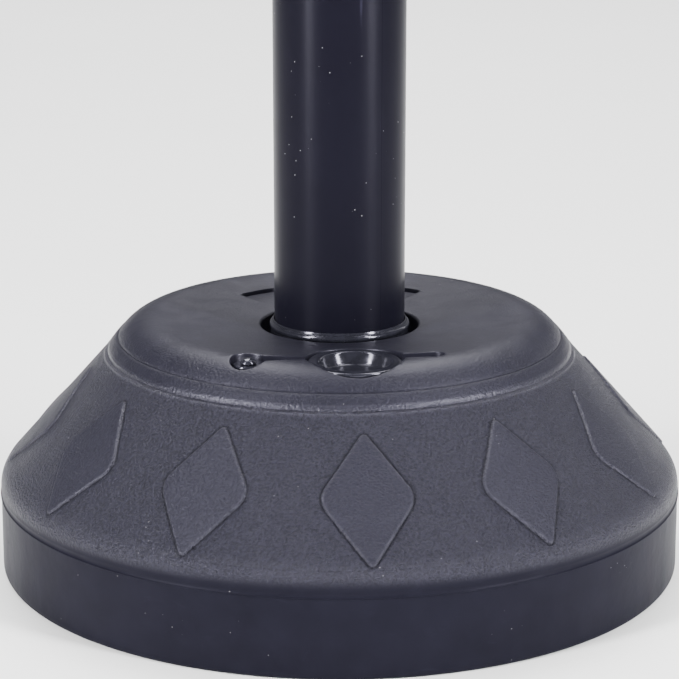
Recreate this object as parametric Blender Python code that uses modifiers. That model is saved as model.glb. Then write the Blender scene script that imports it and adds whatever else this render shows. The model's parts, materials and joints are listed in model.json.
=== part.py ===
"""Tetherball set: a fillable base with a plugged filler, a three-piece pole and a swivel eye on top.

The base stands on Z = 0 with its middle on the Z axis. The filler plug is on the -Y side.
"""

from math import cos, pi, radians, sin, sqrt, tan

import bmesh
import bpy
from mathutils import Matrix, Vector

GAP = 0.0003  # between pieces that touch
ROUND_STEPS = 48  # sides of a large turned piece
SMALL_STEPS = 24  # sides of a small turned piece

# Base tank, as radius and height
RIM_R = 0.1995
FLASH = 0.0005
SEAM_Z = 0.0451
RIM_TOP_Z = 0.049
RIM_FILLET = 0.0155
CONE_FOOT = (0.1960, 0.0590)
STEP_POINT = (0.1364, 0.1256)
GROOVE_POINT = (0.1290, 0.1348)
TOP_Z = 0.146
SHOULDER_R = 0.0253
WALL = 0.003
TOP_WALL = 0.004
FOOT_RING = (0.150, 0.1975)
UNDERSIDE_Z = 0.008
WELL_R = 0.0416
WELL_FLOOR_Z = 0.022
BOLT_POCKET = (0.058, 0.014)
MOUTH_R = 0.046
MOUTH_LIP = 0.0015
DISH = radians(5.6)  # slope of the top, down towards the pole
BOLT_HOLE_R = 0.0055

# Raised diamonds on the cone
DIAMOND_COUNT = 12
DIAMOND_TOP = (0.1449, 0.1161)
DIAMOND_FOOT = (0.1947, 0.0604)
DIAMOND_HALF_WIDTH = 0.0243
DIAMOND_PROUD = 0.0008

# Hand grip behind the pole
GRIP_R = (0.0575, 0.0812)
GRIP_DEPTH = 0.0022
GRIP_HALF_ANGLE = radians(43.5)

# Filler plug, its strap and the strap's stud
PLUG_Y = -0.0955
PLUG_SEAT_Z = 0.1389
PLUG_SEAT_R = 0.0275
PLUG_FLANGE_R = 0.0260
PLUG_FLANGE_H = 0.0035
CUP_IN_R = 0.0196
CUP_DRAFT = 0.0016
CUP_OUT_R = 0.0227
CUP_FLOOR = (0.1332, 0.1357)
SKIRT_IN_R = 0.0188
SKIRT_FOOT_Z = 0.1215
NECK_R = 0.0231
NECK_FOOT_Z = 0.131
CHANNEL_Z = 0.1406
CHANNEL_BOSS_Z = 0.1361
TAB_END_X = 0.0480
TAB_WIDTH = 0.009
STRAP_WIDTH = 0.007
STRAP_THICKNESS = 0.0016
STUD_X = -0.0580
STUD_SEAT_R = 0.0100
STUD_HOLE_R = 0.0025
STUD_HOLE_Z = 0.1365
CHANNEL_HALF = 0.0052
STUD_R = 0.0046

# Pole
POLE_R = 0.038
POLE_WALL = 0.002
SECTION = 0.676
POLE_FOOT_Z = 0.0256
SLEEVE_R = 0.0406
SLEEVE_TOP_Z = 0.1432
COUPLER_WALL = 0.002
COUPLER_HALF = 0.075
PIN_RISE = 0.040
PIN_R = 0.0048
PIN_SHOULDER = 0.0011
RIVET_DROP = 0.040

# Swivel head and shackle
CAP_RISE = 0.014
STEM_R = 0.005
EYE_R = 0.014
EYE_WIRE = 0.004
SHACKLE_WIRE = 0.003
SHACKLE_PIN_R = 0.003
SHACKLE_REACH = 0.038
SHACKLE_LIE = radians(30)

BLACK_PLASTIC = ("black_plastic", (0.085, 0.085, 0.110), 0.5, 0.0)
SOFT_VINYL = ("soft_vinyl", (0.050, 0.050, 0.060), 0.2, 0.0)
BLACK_PAINT = ("black_paint", (0.020, 0.020, 0.028), 0.38, 0.1)
HARD_NYLON = ("hard_nylon", (0.040, 0.040, 0.045), 0.45, 0.0)
BRIGHT_ZINC = ("bright_zinc", (0.600, 0.610, 0.630), 0.3, 1.0)
SPRING_STEEL = ("spring_steel", (0.350, 0.350, 0.360), 0.35, 1.0)


def clear_scene():
    for thing in list(bpy.data.objects):
        bpy.data.objects.remove(thing, do_unlink=True)


def make_collection(name):
    collection = bpy.data.collections.new(name)
    bpy.context.scene.collection.children.link(collection)
    return collection


clear_scene()
PARTS = make_collection("tetherball_set")
CUTTERS = make_collection("cutters")
CUTTERS.hide_render = True


def material(finish):
    name, colour, roughness, metallic = finish
    found = bpy.data.materials.get(name)
    if found:
        return found
    made = bpy.data.materials.new(name)
    made.use_nodes = True
    shader = made.node_tree.nodes["Principled BSDF"]
    shader.inputs["Base Color"].default_value = (*colour, 1.0)
    shader.inputs["Roughness"].default_value = roughness
    shader.inputs["Metallic"].default_value = metallic
    return made


def place(name, data, finish=None, at=(0, 0, 0), turn=None):
    """Puts data in the scene as a named part, or as a cutter when it has no finish."""
    thing = bpy.data.objects.new(name, data)
    if finish:
        PARTS.objects.link(thing)
        data.materials.append(material(finish))
    else:
        CUTTERS.objects.link(thing)
        thing.hide_render = True
        thing.display_type = "WIRE"
    thing.location = at
    if turn:
        thing.rotation_euler = turn
    return thing


def turned(name, profile, finish=None, steps=SMALL_STEPS, at=(0, 0, 0), turn=None):
    """Turns a closed profile of (radius, height) points, running down the outer side, about Z."""
    mesh = bpy.data.meshes.new(name)
    count = len(profile)
    edges = [(i, (i + 1) % count) for i in range(count)]
    if profile[0][0] == 0 and profile[-1][0] == 0:
        edges.pop()
    mesh.from_pydata([(r, 0, z) for r, z in profile], edges, [])
    thing = place(name, mesh, finish, at, turn)
    screw = thing.modifiers.new("Turn", "SCREW")
    screw.steps = steps
    screw.render_steps = steps
    screw.use_merge_vertices = True
    screw.merge_threshold = 0.00001
    screw.use_smooth_shade = True
    return thing


def ring(inner, outer, low, high):
    """The profile of a plain ring or washer."""
    return [(inner, high), (outer, high), (outer, low), (inner, low)]


def disc(outer, low, high):
    """The profile of a plain solid cylinder."""
    return [(0, high), (outer, high), (outer, low), (0, low)]


def arc(centre, radius, start, end, count):
    """Points on a circle of the profile plane, angles from +radius towards +height."""
    turns = [start + (end - start) * i / (count - 1) for i in range(count)]
    return [(centre[0] + radius * cos(a), centre[1] + radius * sin(a)) for a in turns]


def block(name, low, high):
    mesh = bpy.data.meshes.new(name)
    shape = bmesh.new()
    bmesh.ops.create_cube(shape, size=1)
    size = Vector(high) - Vector(low)
    bmesh.ops.transform(shape, matrix=Matrix.Diagonal((*size, 1)), verts=shape.verts)
    bmesh.ops.translate(shape, vec=(Vector(high) + Vector(low)) / 2, verts=shape.verts)
    shape.to_mesh(mesh)
    shape.free()
    return place(name, mesh)


def as_mesh(curve):
    """Replaces a curve object with a closed mesh of the same name and place."""
    bpy.context.view_layer.update()
    seen = curve.evaluated_get(bpy.context.evaluated_depsgraph_get())
    mesh = bpy.data.meshes.new_from_object(seen)
    shape = bmesh.new()
    shape.from_mesh(mesh)
    bmesh.ops.remove_doubles(shape, verts=shape.verts, dist=0.000001)
    bmesh.ops.recalc_face_normals(shape, faces=shape.faces)
    shape.to_mesh(mesh)
    shape.free()
    name = curve.name
    matrix = curve.matrix_world.copy()
    home = curve.users_collection[0]
    hidden = curve.hide_render
    bpy.data.objects.remove(curve, do_unlink=True)
    made = bpy.data.objects.new(name, mesh)
    home.objects.link(made)
    made.matrix_world = matrix
    made.hide_render = hidden
    made.display_type = "WIRE" if hidden else "TEXTURED"
    return made


def plate(name, outline, thickness, finish=None, at=(0, 0, 0), turn=None):
    """A flat closed outline in XY, filled and thickened evenly about its own plane."""
    curve = bpy.data.curves.new(name, "CURVE")
    curve.dimensions = "2D"
    curve.fill_mode = "BOTH"
    curve.extrude = thickness / 2
    line = curve.splines.new("POLY")
    line.points.add(len(outline) - 1)
    for point, (x, y) in zip(line.points, outline):
        point.co = (x, y, 0, 1)
    line.use_cyclic_u = True
    return as_mesh(place(name, curve, finish, at, turn))


def rod(name, points, radius, finish, sides=3):
    """A round wire along a list of points."""
    curve = bpy.data.curves.new(name, "CURVE")
    curve.dimensions = "3D"
    curve.bevel_depth = radius
    curve.bevel_resolution = sides
    curve.use_fill_caps = True
    line = curve.splines.new("POLY")
    line.points.add(len(points) - 1)
    for point, place_at in zip(line.points, points):
        point.co = (*place_at, 1)
    return as_mesh(place(name, curve, finish))


def combine(thing, other, operation):
    """Cuts, joins or intersects thing with other, which becomes a hidden helper."""
    step = thing.modifiers.new(other.name, "BOOLEAN")
    step.operation = operation
    step.solver = "EXACT"
    step.object = other


def cut(thing, *cutters):
    for cutter in cutters:
        combine(thing, cutter, "DIFFERENCE")


def join(thing, *others):
    for other in others:
        combine(thing, other, "UNION")


def crosswise(name, radius, start, end):
    """A round bar between two points on a line along Y, for the holes that pins pass through."""
    turn = (-pi / 2, 0, 0)
    return turned(name, disc(radius, 0, end[1] - start[1]), at=start, turn=turn)


# ---------------------------------------------------------------- base


def shoulder(drop=0.0, count=5):
    """The rounded edge of the top, from its dished part down to the groove."""
    crest_r = GROOVE_POINT[0] - SHOULDER_R * sin(radians(56))
    centre = (crest_r, TOP_Z - SHOULDER_R)
    return arc(centre, SHOULDER_R - drop, pi / 2 + DISH, radians(34), count)


def dish_level(radius):
    """The height of the dished top inside its shoulder."""
    start_r, start_z = shoulder()[0]
    return start_z - (start_r - radius) * tan(DISH)


def rim_fillet(drop=0.0, count=4):
    centre = (RIM_R - RIM_FILLET, RIM_TOP_Z)
    return arc(centre, RIM_FILLET - drop, radians(42), 0, count)


def tank_outside():
    """The wall section's outer face: up the well, over the top, down the cone and under the base."""
    lip_r = MOUTH_R + MOUTH_LIP
    lip = arc((lip_r, dish_level(lip_r) - MOUTH_LIP), MOUTH_LIP, pi, pi / 2 + DISH, 4)
    groove_r, groove_z = GROOVE_POINT
    step_r, step_z = STEP_POINT
    pocket_r, pocket_z = BOLT_POCKET
    return [
        (BOLT_HOLE_R, WELL_FLOOR_Z),
        (WELL_R, WELL_FLOOR_Z),
        (WELL_R, 0.112),
        (MOUTH_R, 0.132),
        *lip,
        *shoulder(),
        (groove_r - 0.0001, groove_z - 0.0011),
        (groove_r + 0.0012, groove_z - 0.0010),
        (step_r - 0.0013, step_z + 0.0020),
        (step_r - 0.0006, step_z + 0.0002),
        CONE_FOOT,
        *rim_fillet(),
        (RIM_R, SEAM_Z + FLASH),
        (RIM_R + FLASH, SEAM_Z),
        (RIM_R, SEAM_Z - FLASH),
        (RIM_R - 0.0002, 0.0022),
        (FOOT_RING[1], 0),
        (FOOT_RING[0], 0),
        (FOOT_RING[0] - 0.004, UNDERSIDE_Z),
        (pocket_r + 0.004, UNDERSIDE_Z),
        (pocket_r, pocket_z),
        (BOLT_HOLE_R, pocket_z),
    ]


def tank_inside():
    """The wall section's inner face: the space that is filled with water or sand."""
    slope = (STEP_POINT[1] - CONE_FOOT[1]) / (CONE_FOOT[0] - STEP_POINT[0])
    length = sqrt(1 + slope * slope)
    inward = (-WALL * slope / length, -WALL / length)
    pocket_r, pocket_z = BOLT_POCKET
    return [
        (MOUTH_R + WALL + 0.0005, pocket_z + WALL),
        (MOUTH_R + WALL + 0.0005, dish_level(MOUTH_R + WALL) - TOP_WALL - 0.0002),
        *shoulder(TOP_WALL, 3),
        (STEP_POINT[0] + inward[0], STEP_POINT[1] + inward[1] - 0.001),
        (CONE_FOOT[0] + inward[0], CONE_FOOT[1] + inward[1]),
        *rim_fillet(WALL, 2),
        (RIM_R - 0.0002 - WALL, 0.005),
        (FOOT_RING[1] - WALL, WALL),
        (FOOT_RING[0] + WALL, WALL),
        (FOOT_RING[0] - 0.004 + WALL, UNDERSIDE_Z + WALL),
        (pocket_r + 0.004 + WALL, UNDERSIDE_Z + WALL),
        (pocket_r + WALL, pocket_z + WALL),
    ]


def neck_solids():
    """Thick places under the top, which the filler neck, the strap's channel and the stud are cut into."""
    skew = (0, 0, radians(3))
    neck = turned("neck_boss", disc(0.0310, NECK_FOOT_Z, 0.170), None, 28, (0, PLUG_Y, 0), skew)
    stud = turned("stud_boss", disc(0.0135, 0.134, 0.170), None, 20, (STUD_X, PLUG_Y, 0), skew)
    channel = block("channel_boss", (STUD_X, PLUG_Y - 0.009, CHANNEL_BOSS_Z), (0.054, PLUG_Y + 0.009, 0.171))
    return neck, stud, channel


def tongue(name, start, end, half, low, high):
    """A bar along X at the plug's Y, with a round end."""
    turns = [radians(d) for d in range(-90, 91, 15)]
    side = 1 if end > start else -1
    centre = end - side * half
    tip = [(centre + side * half * cos(a), half * sin(a)) for a in turns]
    outline = [(start, -half), *tip, (start, half)]
    return plate(name, outline[::side], high - low, at=(0, PLUG_Y, (low + high) / 2))


def recess_cutters():
    """The seat of the plug, the channel of its strap and tab, and the stud's seat and hole."""
    above = 0.150
    seat_profile = [
        (0, above),
        (PLUG_SEAT_R, above),
        (PLUG_SEAT_R, PLUG_SEAT_Z),
        (NECK_R, PLUG_SEAT_Z),
        (NECK_R, 0.120),
        (0, 0.120),
    ]
    stud_profile = [
        (0, above),
        (STUD_SEAT_R, above),
        (STUD_SEAT_R, CHANNEL_Z),
        (STUD_HOLE_R, CHANNEL_Z),
        (STUD_HOLE_R, STUD_HOLE_Z),
        (0, STUD_HOLE_Z),
    ]
    seat = turned("plug_seat", seat_profile, at=(0, PLUG_Y, 0), steps=48)
    stud = turned("stud_seat", stud_profile, at=(STUD_X, PLUG_Y, 0))
    strap_low = CHANNEL_Z + 0.0001
    strap = tongue("strap_channel", -0.015, STUD_X + 0.003, CHANNEL_HALF, strap_low, above + 0.001)
    tab_low = PLUG_SEAT_Z + 0.0002
    tab = tongue("tab_channel", 0.015, TAB_END_X + 0.0012, CHANNEL_HALF + 0.0004, tab_low, above + 0.002)
    return seat, stud, strap, tab


def wedge(name, half_angle, reach, low, high):
    """A slice of pie about Z that opens towards +Y."""
    outline = [(0, 0), (reach * sin(half_angle), reach * cos(half_angle)), (0, reach * 1.3)]
    outline.append((-outline[1][0], outline[1][1]))
    return plate(name, outline[::-1], high - low, at=(0, 0, (high + low) / 2))


def grip_cutter():
    """A shallow scoop behind the pole, deepest at its outer edge."""
    inner, outer = GRIP_R
    above = 0.150
    scoop = turned(
        "grip_scoop",
        [(inner, above), (outer, above), (outer, dish_level(outer) - GRIP_DEPTH), (inner, dish_level(inner))],
        steps=ROUND_STEPS,
    )
    combine(scoop, wedge("grip_slice", GRIP_HALF_ANGLE, 0.150, 0.130, 0.160), "INTERSECT")
    return scoop


def diamond_prism(number):
    """A diamond-shaped bar square to the cone, which picks one pad out of the pad skin."""
    top = Vector((DIAMOND_TOP[0], 0, DIAMOND_TOP[1]))
    foot = Vector((DIAMOND_FOOT[0], 0, DIAMOND_FOOT[1]))
    middle = (top + foot) / 2
    half = (top - foot).length / 2
    side = DIAMOND_HALF_WIDTH
    blunt = half * 0.08
    tip = 0.0007
    outline = [(tip, half), (-tip, half), (-side, blunt), (-side, -blunt)]
    outline += [(-tip, -half), (tip, -half), (side, -blunt), (side, blunt)]
    prism = plate(f"diamond_{number}", outline, 0.020)
    up = (top - foot).normalized()
    across = Vector((0, 1, 0))
    out = across.cross(up)
    frame = Matrix((across, up, out)).transposed().to_4x4()
    frame.translation = middle
    spin = Matrix.Rotation(-pi / 2 + 2 * pi * number / DIAMOND_COUNT, 4, "Z")
    prism.matrix_world = spin @ frame
    return prism


def pad_skin():
    """A thin skin that stands proud of the cone, cut to diamonds."""
    slope = (STEP_POINT[1] - CONE_FOOT[1]) / (CONE_FOOT[0] - STEP_POINT[0])
    length = sqrt(1 + slope * slope)
    normal = Vector((slope / length, 1 / length))
    high = Vector(STEP_POINT) + (Vector(STEP_POINT) - Vector(CONE_FOOT)) * -0.02
    low = Vector(CONE_FOOT)
    proud = normal * DIAMOND_PROUD
    buried = normal * -0.0012
    profile = [tuple(high + buried), tuple(high + proud), tuple(low + proud), tuple(low + buried)]
    skin = turned("diamond_skin", profile, steps=ROUND_STEPS)
    prisms = diamond_prism(0)
    for number in range(1, DIAMOND_COUNT):
        join(prisms, diamond_prism(number))
    combine(skin, prisms, "INTERSECT")
    return skin


def make_tank():
    tank = turned("base_tank", tank_outside(), BLACK_PLASTIC, ROUND_STEPS)
    cavity = turned("tank_cavity", tank_inside(), steps=ROUND_STEPS)
    cut(cavity, *neck_solids())
    join(cavity, *recess_cutters())
    join(tank, pad_skin())
    cut(tank, cavity, grip_cutter())
    return tank


def make_plug():
    """The filler plug: a shallow cup in a round flange over a hollow skirt, with a pull tab."""
    top = PLUG_SEAT_Z + GAP + PLUG_FLANGE_H
    seat = PLUG_SEAT_Z + GAP
    under, floor = CUP_FLOOR
    bottom_r = CUP_IN_R - CUP_DRAFT
    profile = [
        (0, floor),
        (bottom_r - 0.0015, floor),
        (bottom_r, floor + 0.0011),
        (CUP_IN_R, top - 0.0012),
        (CUP_IN_R + 0.0013, top),
        (PLUG_FLANGE_R - 0.001, top),
        (PLUG_FLANGE_R, top - 0.001),
        (PLUG_FLANGE_R, seat),
        (CUP_OUT_R, seat),
        (CUP_OUT_R - 0.0007, SKIRT_FOOT_Z + 0.001),
        (CUP_OUT_R - 0.0017, SKIRT_FOOT_Z),
        (SKIRT_IN_R, SKIRT_FOOT_Z),
        (SKIRT_IN_R, under - 0.0007),
        (0, under),
    ]
    plug = turned("filler_plug", profile, SOFT_VINYL, 36, (0, PLUG_Y, 0))
    half = TAB_WIDTH / 2
    centre = TAB_END_X - half
    tip = [(centre + half * cos(a), half * sin(a)) for a in (radians(d) for d in range(-90, 91, 15))]
    start = CUP_OUT_R + 0.001
    outline = [(start, -half), *tip, (start, half)]
    tab = plate("pull_tab", outline, 0.0028, at=(0, PLUG_Y, top - 0.0017))
    join(plug, tab)
    return plug


def make_strap():
    """The flat strap that keeps the plug on the base, with a round end under the stud."""
    half = STRAP_WIDTH / 2
    end_r = 0.0082
    start = radians(-360) + 0.44
    turns = [start + (2 * pi - 0.88) * i / 20 for i in range(21)]
    round_end = [(end_r * cos(a), end_r * sin(a)) for a in turns]
    reach = -STUD_X - PLUG_FLANGE_R - GAP
    outline = [(reach, -half), (reach, half), *round_end]
    level = CHANNEL_Z + GAP + STRAP_THICKNESS / 2
    strap = plate("plug_strap", outline, STRAP_THICKNESS, SOFT_VINYL, (STUD_X, PLUG_Y, level))
    cut(strap, turned("strap_hole", disc(0.0026, 0.130, 0.160), at=(STUD_X, PLUG_Y, 0)))
    return strap


def make_stud():
    """The domed push-in stud through the strap's end."""
    under = CHANNEL_Z + 2 * GAP + STRAP_THICKNESS
    dome = arc((0, under - 0.0018), 0.0049, radians(90), radians(21.6), 5)
    dome[0] = (0, dome[0][1])
    profile = [*dome, (STUD_R, under), (0.0022, under), (0.0022, 0.1370), (0, 0.1370)]
    return turned("strap_stud", profile, SOFT_VINYL, at=(STUD_X, PLUG_Y, 0))


# ---------------------------------------------------------------- pole


def make_sleeve():
    """The sleeve round the pole's foot: it lines the well and ends in a rolled bead at the mouth."""
    bead = arc((SLEEVE_R - 0.0011, SLEEVE_TOP_Z - 0.0022), 0.0015, radians(95), radians(-50), 5)
    profile = [
        (POLE_R + GAP, SLEEVE_TOP_Z),
        (POLE_R + 0.0009, SLEEVE_TOP_Z - 0.0001),
        *bead,
        (SLEEVE_R - 0.0002, SLEEVE_TOP_Z - 0.006),
        (SLEEVE_R, 0.115),
        (SLEEVE_R, WELL_FLOOR_Z + GAP),
        (POLE_R + GAP, WELL_FLOOR_Z + GAP),
    ]
    return turned("pole_sleeve", profile, SOFT_VINYL, ROUND_STEPS)


def make_foot_plug():
    """The insert in the pole's foot: a flange under the tube, a web for the nut and a rim inside the tube."""
    low = WELL_FLOOR_Z + GAP
    flange = POLE_FOOT_Z - GAP
    inner = POLE_R - POLE_WALL - GAP
    profile = [
        (0.0055, 0.034),
        (0.030, 0.034),
        (0.032, 0.036),
        (0.032, 0.062),
        (inner - 0.001, 0.062),
        (inner, 0.061),
        (inner, flange),
        (POLE_R - 0.0002, flange),
        (POLE_R - 0.0002, low),
        (0.0055, low),
    ]
    return turned("foot_plug", profile, HARD_NYLON, 36)


def hexagon(width):
    """Corners of a hexagon measured across its flats."""
    r = width / sqrt(3)
    return [(r * cos(radians(a)), r * sin(radians(a))) for a in range(0, 360, 60)]


def make_nut(name, width, thickness, hole_r, low):
    nut = plate(name, hexagon(width), thickness, BRIGHT_ZINC, (0, 0, low + thickness / 2))
    cut(nut, turned(name + "_bore", disc(hole_r, low - 0.01, low + thickness + 0.01)))
    return nut


def make_foot_fasteners():
    """The bolt that holds the pole's foot down, with its washers and nut."""
    pocket = BOLT_POCKET[1]
    washer_low = pocket - GAP - 0.0025
    split_low = washer_low - GAP - 0.002
    head_top = split_low - GAP
    turned("foot_washer", ring(0.0053, 0.025, washer_low, pocket - GAP), BRIGHT_ZINC, 32)
    split = turned("foot_lock_washer", ring(0.0053, 0.009, split_low, split_low + 0.002), SPRING_STEEL)
    cut(split, block("split_gap", (0.004, -0.0008, split_low - 0.001), (0.012, 0.0008, split_low + 0.003)))
    bolt = plate("foot_bolt", hexagon(0.016), 0.0055, BRIGHT_ZINC, (0, 0, head_top - 0.00275))
    join(bolt, turned("foot_shank", disc(0.0048, head_top - 0.003, 0.048)))
    make_nut("foot_nut", 0.016, 0.008, 0.0051, 0.034 + GAP)


def joint_heights():
    """Where the lower and middle sections end."""
    return (POLE_FOOT_Z + SECTION, POLE_FOOT_Z + 2 * SECTION + GAP)


def pole_top():
    return POLE_FOOT_Z + 3 * SECTION + 2 * GAP


def make_section(name, low, high):
    return turned(name, ring(POLE_R - POLE_WALL, POLE_R, low, high), BLACK_PAINT, ROUND_STEPS)


def wall_hole(name, height, side=-1, radius=PIN_R + 0.00035):
    """A round hole through both walls of a joint, on one side of the pole."""
    if side < 0:
        return crosswise(name, radius, (0, -0.050, height), (0, -0.025, height))
    return crosswise(name, radius, (0, 0.025, height), (0, 0.050, height))


def make_rivet(name, height, side):
    """A blind rivet through a section and its coupler."""
    inside = POLE_R - POLE_WALL - GAP - COUPLER_WALL
    profile = [
        (0, POLE_R + 0.0016),
        (0.0022, POLE_R + 0.0015),
        (0.0040, POLE_R + 0.0006),
        (0.0040, POLE_R + GAP),
        (0.0023, POLE_R + GAP),
        (0.0023, inside - GAP),
        (0.0033, inside - GAP - 0.0002),
        (0.0033, inside - 0.0022),
        (0.0020, inside - 0.0032),
        (0, inside - 0.0034),
    ]
    return turned(name, profile, BRIGHT_ZINC, 16, (0, 0, height), (-side * pi / 2, 0, 0))


def make_pin(name, height):
    """The snap button: a round-ended pin with a shoulder that stops it behind the coupler."""
    inner = POLE_R - POLE_WALL - GAP - COUPLER_WALL
    nose = arc((0, POLE_R + 0.0045 - 0.006), 0.006, radians(90), radians(40), 4)
    nose[0] = (0, nose[0][1])
    profile = [
        *nose,
        (PIN_R, POLE_R + 0.0010),
        (PIN_R, inner - PIN_SHOULDER),
        (PIN_R + 0.0018, inner - PIN_SHOULDER),
        (PIN_R + 0.0018, inner - PIN_SHOULDER - 0.0018),
        (0, inner - PIN_SHOULDER - 0.0018),
    ]
    return turned(name, profile, BRIGHT_ZINC, at=(0, 0, height), turn=(pi / 2, 0, 0))


def make_spring(name, height):
    """A strip bent to a V: one leg behind the pin, the other against the far side of the coupler."""
    inner = POLE_R - POLE_WALL - GAP - COUPLER_WALL
    front = -(inner - PIN_SHOULDER - 0.0018 - GAP)
    back = inner - 0.0006
    thick = 0.0009
    drop = 0.040
    half = 0.005
    bend = [(0.006 * cos(radians(a)), -drop - 0.006 * sin(radians(a))) for a in range(0, 181, 30)]
    bend_in = [(0.0051 * cos(radians(a)), -drop - 0.0051 * sin(radians(a))) for a in range(180, -1, -30)]
    outline = [(back, half), (back, -half), *bend, (front, -half), (front, half)]
    outline += [(front + thick, half), (front + thick, -half), *bend_in, (back - thick, -half), (back - thick, half)]
    return plate(name, outline, 0.008, SPRING_STEEL, (0, 0, height), (pi / 2, 0, pi / 2))


def make_pole():
    lower_end, middle_end = joint_heights()
    spans = {
        "pole_lower": (POLE_FOOT_Z, lower_end),
        "pole_middle": (lower_end + GAP, middle_end),
        "pole_upper": (middle_end + GAP, pole_top()),
    }
    sections = {name: make_section(name, low, high) for name, (low, high) in spans.items()}
    pairs = (
        ("lower", lower_end, "pole_lower", "pole_middle"),
        ("upper", middle_end, "pole_middle", "pole_upper"),
    )
    outer = POLE_R - POLE_WALL - GAP
    for word, height, below, above in pairs:
        profile = ring(outer - COUPLER_WALL, outer, height - COUPLER_HALF, height + COUPLER_HALF)
        coupler = turned(f"coupler_{word}", profile, HARD_NYLON, ROUND_STEPS)
        button = wall_hole(f"button_hole_{word}", height + PIN_RISE)
        cut(sections[above], button)
        cut(coupler, button)
        for letter, side in (("front", -1), ("back", 1)):
            hole = wall_hole(f"rivet_hole_{word}_{letter}", height - RIVET_DROP, side, 0.0026)
            cut(sections[below], hole)
            cut(coupler, hole)
            make_rivet(f"rivet_{word}_{letter}", height - RIVET_DROP, side)
        make_pin(f"snap_pin_{word}", height + PIN_RISE)
        make_spring(f"snap_spring_{word}", height + PIN_RISE)


# ---------------------------------------------------------------- swivel head


def make_cap():
    """The moulded cap in the pole's top, with a hole for the swivel's bush."""
    seat = pole_top() + GAP
    crown = seat + CAP_RISE
    inner = POLE_R - POLE_WALL - GAP
    profile = [
        (0.0076, crown),
        (0.016, crown),
        (0.030, crown - 0.004),
        (POLE_R + 0.0005, crown - 0.009),
        (POLE_R + 0.0015, crown - 0.011),
        (POLE_R + 0.0015, seat),
        (inner, seat),
        (inner, seat - 0.030),
        (inner - 0.0025, seat - 0.030),
        (inner - 0.0025, crown - 0.011),
        (0.018, crown - 0.008),
        (0.0076, crown - 0.008),
    ]
    return turned("top_cap", profile, HARD_NYLON, ROUND_STEPS)


def make_bush(crown):
    """The nylon bush that the swivel turns in."""
    profile = [
        (STEM_R + 0.0004, crown + GAP + 0.002),
        (0.011, crown + GAP + 0.002),
        (0.011, crown + GAP),
        (0.0073, crown + GAP),
        (0.0073, crown - 0.009),
        (STEM_R + 0.0004, crown - 0.009),
    ]
    return turned("swivel_bush", profile, HARD_NYLON)


def make_eye(crown):
    """The eye on its stem. It turns as one piece with its lock nut."""
    collar = crown + 0.0023 + GAP + 0.0015 + GAP
    middle = collar + 0.003 + EYE_WIRE + EYE_R - 0.001
    profile = [
        (0, collar + 0.005),
        (0.006, collar + 0.005),
        (0.0085, collar + 0.003),
        (0.0085, collar),
        (STEM_R, collar),
        (STEM_R, crown - 0.023),
        (STEM_R - 0.001, crown - 0.024),
        (0, crown - 0.024),
    ]
    eye = turned("swivel_eye", profile, BRIGHT_ZINC)
    section = [(EYE_R + EYE_WIRE * cos(a), EYE_WIRE * sin(a)) for a in (-2 * pi * i / 8 for i in range(8))]
    loop = turned("eye_loop", section, steps=24, at=(0, 0, middle), turn=(pi / 2, 0, 0))
    join(eye, loop)
    return middle


def make_swivel():
    crown = pole_top() + GAP + CAP_RISE
    make_cap()
    make_bush(crown)
    low = crown + GAP + 0.002 + GAP
    turned("swivel_washer_top", ring(STEM_R + 0.0004, 0.010, low, low + 0.0015), BRIGHT_ZINC)
    under = crown - 0.009 - GAP
    turned("swivel_washer_low", ring(STEM_R + 0.0004, 0.011, under - 0.0016, under), BRIGHT_ZINC)
    nut_low = under - 0.0016 - GAP - 0.009
    make_nut("swivel_lock_nut", 0.016, 0.009, STEM_R + 0.0002, nut_low)
    return make_eye(crown)


def shackle_pivot(eye_z):
    """The pin lies at the bottom of the eye."""
    return Vector((0, 0, eye_z - EYE_R + EYE_WIRE + SHACKLE_PIN_R + 0.0006))


def make_shackle(eye_z):
    """A bow shackle for the rope. It lies over the cap's edge on the +X side and swings on its pin."""
    pivot = shackle_pivot(eye_z)
    hub = bpy.data.objects.new("shackle_pivot", None)
    PARTS.objects.link(hub)
    hub.location = pivot
    half = 0.0085
    bend_x = SHACKLE_REACH - half
    bow = [(half * sin(radians(a)), bend_x + half * cos(radians(a))) for a in range(-90, 91, 18)]
    points = [(0, -half, 0), *[(x, y, 0) for y, x in bow], (0, half, 0)]
    shackle = rod("rope_shackle", points, SHACKLE_WIRE, BRIGHT_ZINC)
    for word, side in (("left", -1), ("right", 1)):
        ear = turned(
            f"ear_{word}",
            disc(0.0062, -0.0029, 0.0029),
            steps=SMALL_STEPS,
            turn=(pi / 2, 0, 0),
            at=(0, side * half, 0),
        )
        ear.parent = hub
        join(shackle, ear)
    bore = turned("shackle_bore", disc(SHACKLE_PIN_R + GAP, -0.02, 0.02), turn=(pi / 2, 0, 0))
    cut(shackle, bore)
    head = [
        (0, 0.0145),
        (0.0052, 0.0145),
        (0.0052, 0.0118),
        (SHACKLE_PIN_R, 0.0118),
        (SHACKLE_PIN_R, -0.0128),
        (0, -0.0128),
    ]
    pin = turned("shackle_pin", head, BRIGHT_ZINC, turn=(pi / 2, 0, 0))
    for thing in (shackle, bore, pin):
        thing.parent = hub
    hub.rotation_euler = (0, SHACKLE_LIE, 0)


make_tank()
make_plug()
make_strap()
make_stud()
make_sleeve()
make_foot_plug()
make_foot_fasteners()
make_pole()
make_shackle(make_swivel())
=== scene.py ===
"""Tetherball set: the finished surfaces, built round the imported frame.

The base stands on Z = 0, the pole runs up +Z and the filler plug is on the -Y side. Sizes are in metres.
"""

import json
import math

import bmesh
import bpy
from bpy.props import FloatProperty, FloatVectorProperty, IntProperty
from bpy.types import Operator, Panel, PropertyGroup
from math import cos, pi, radians, sin, sqrt, tan
from mathutils import Matrix, Vector


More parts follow.
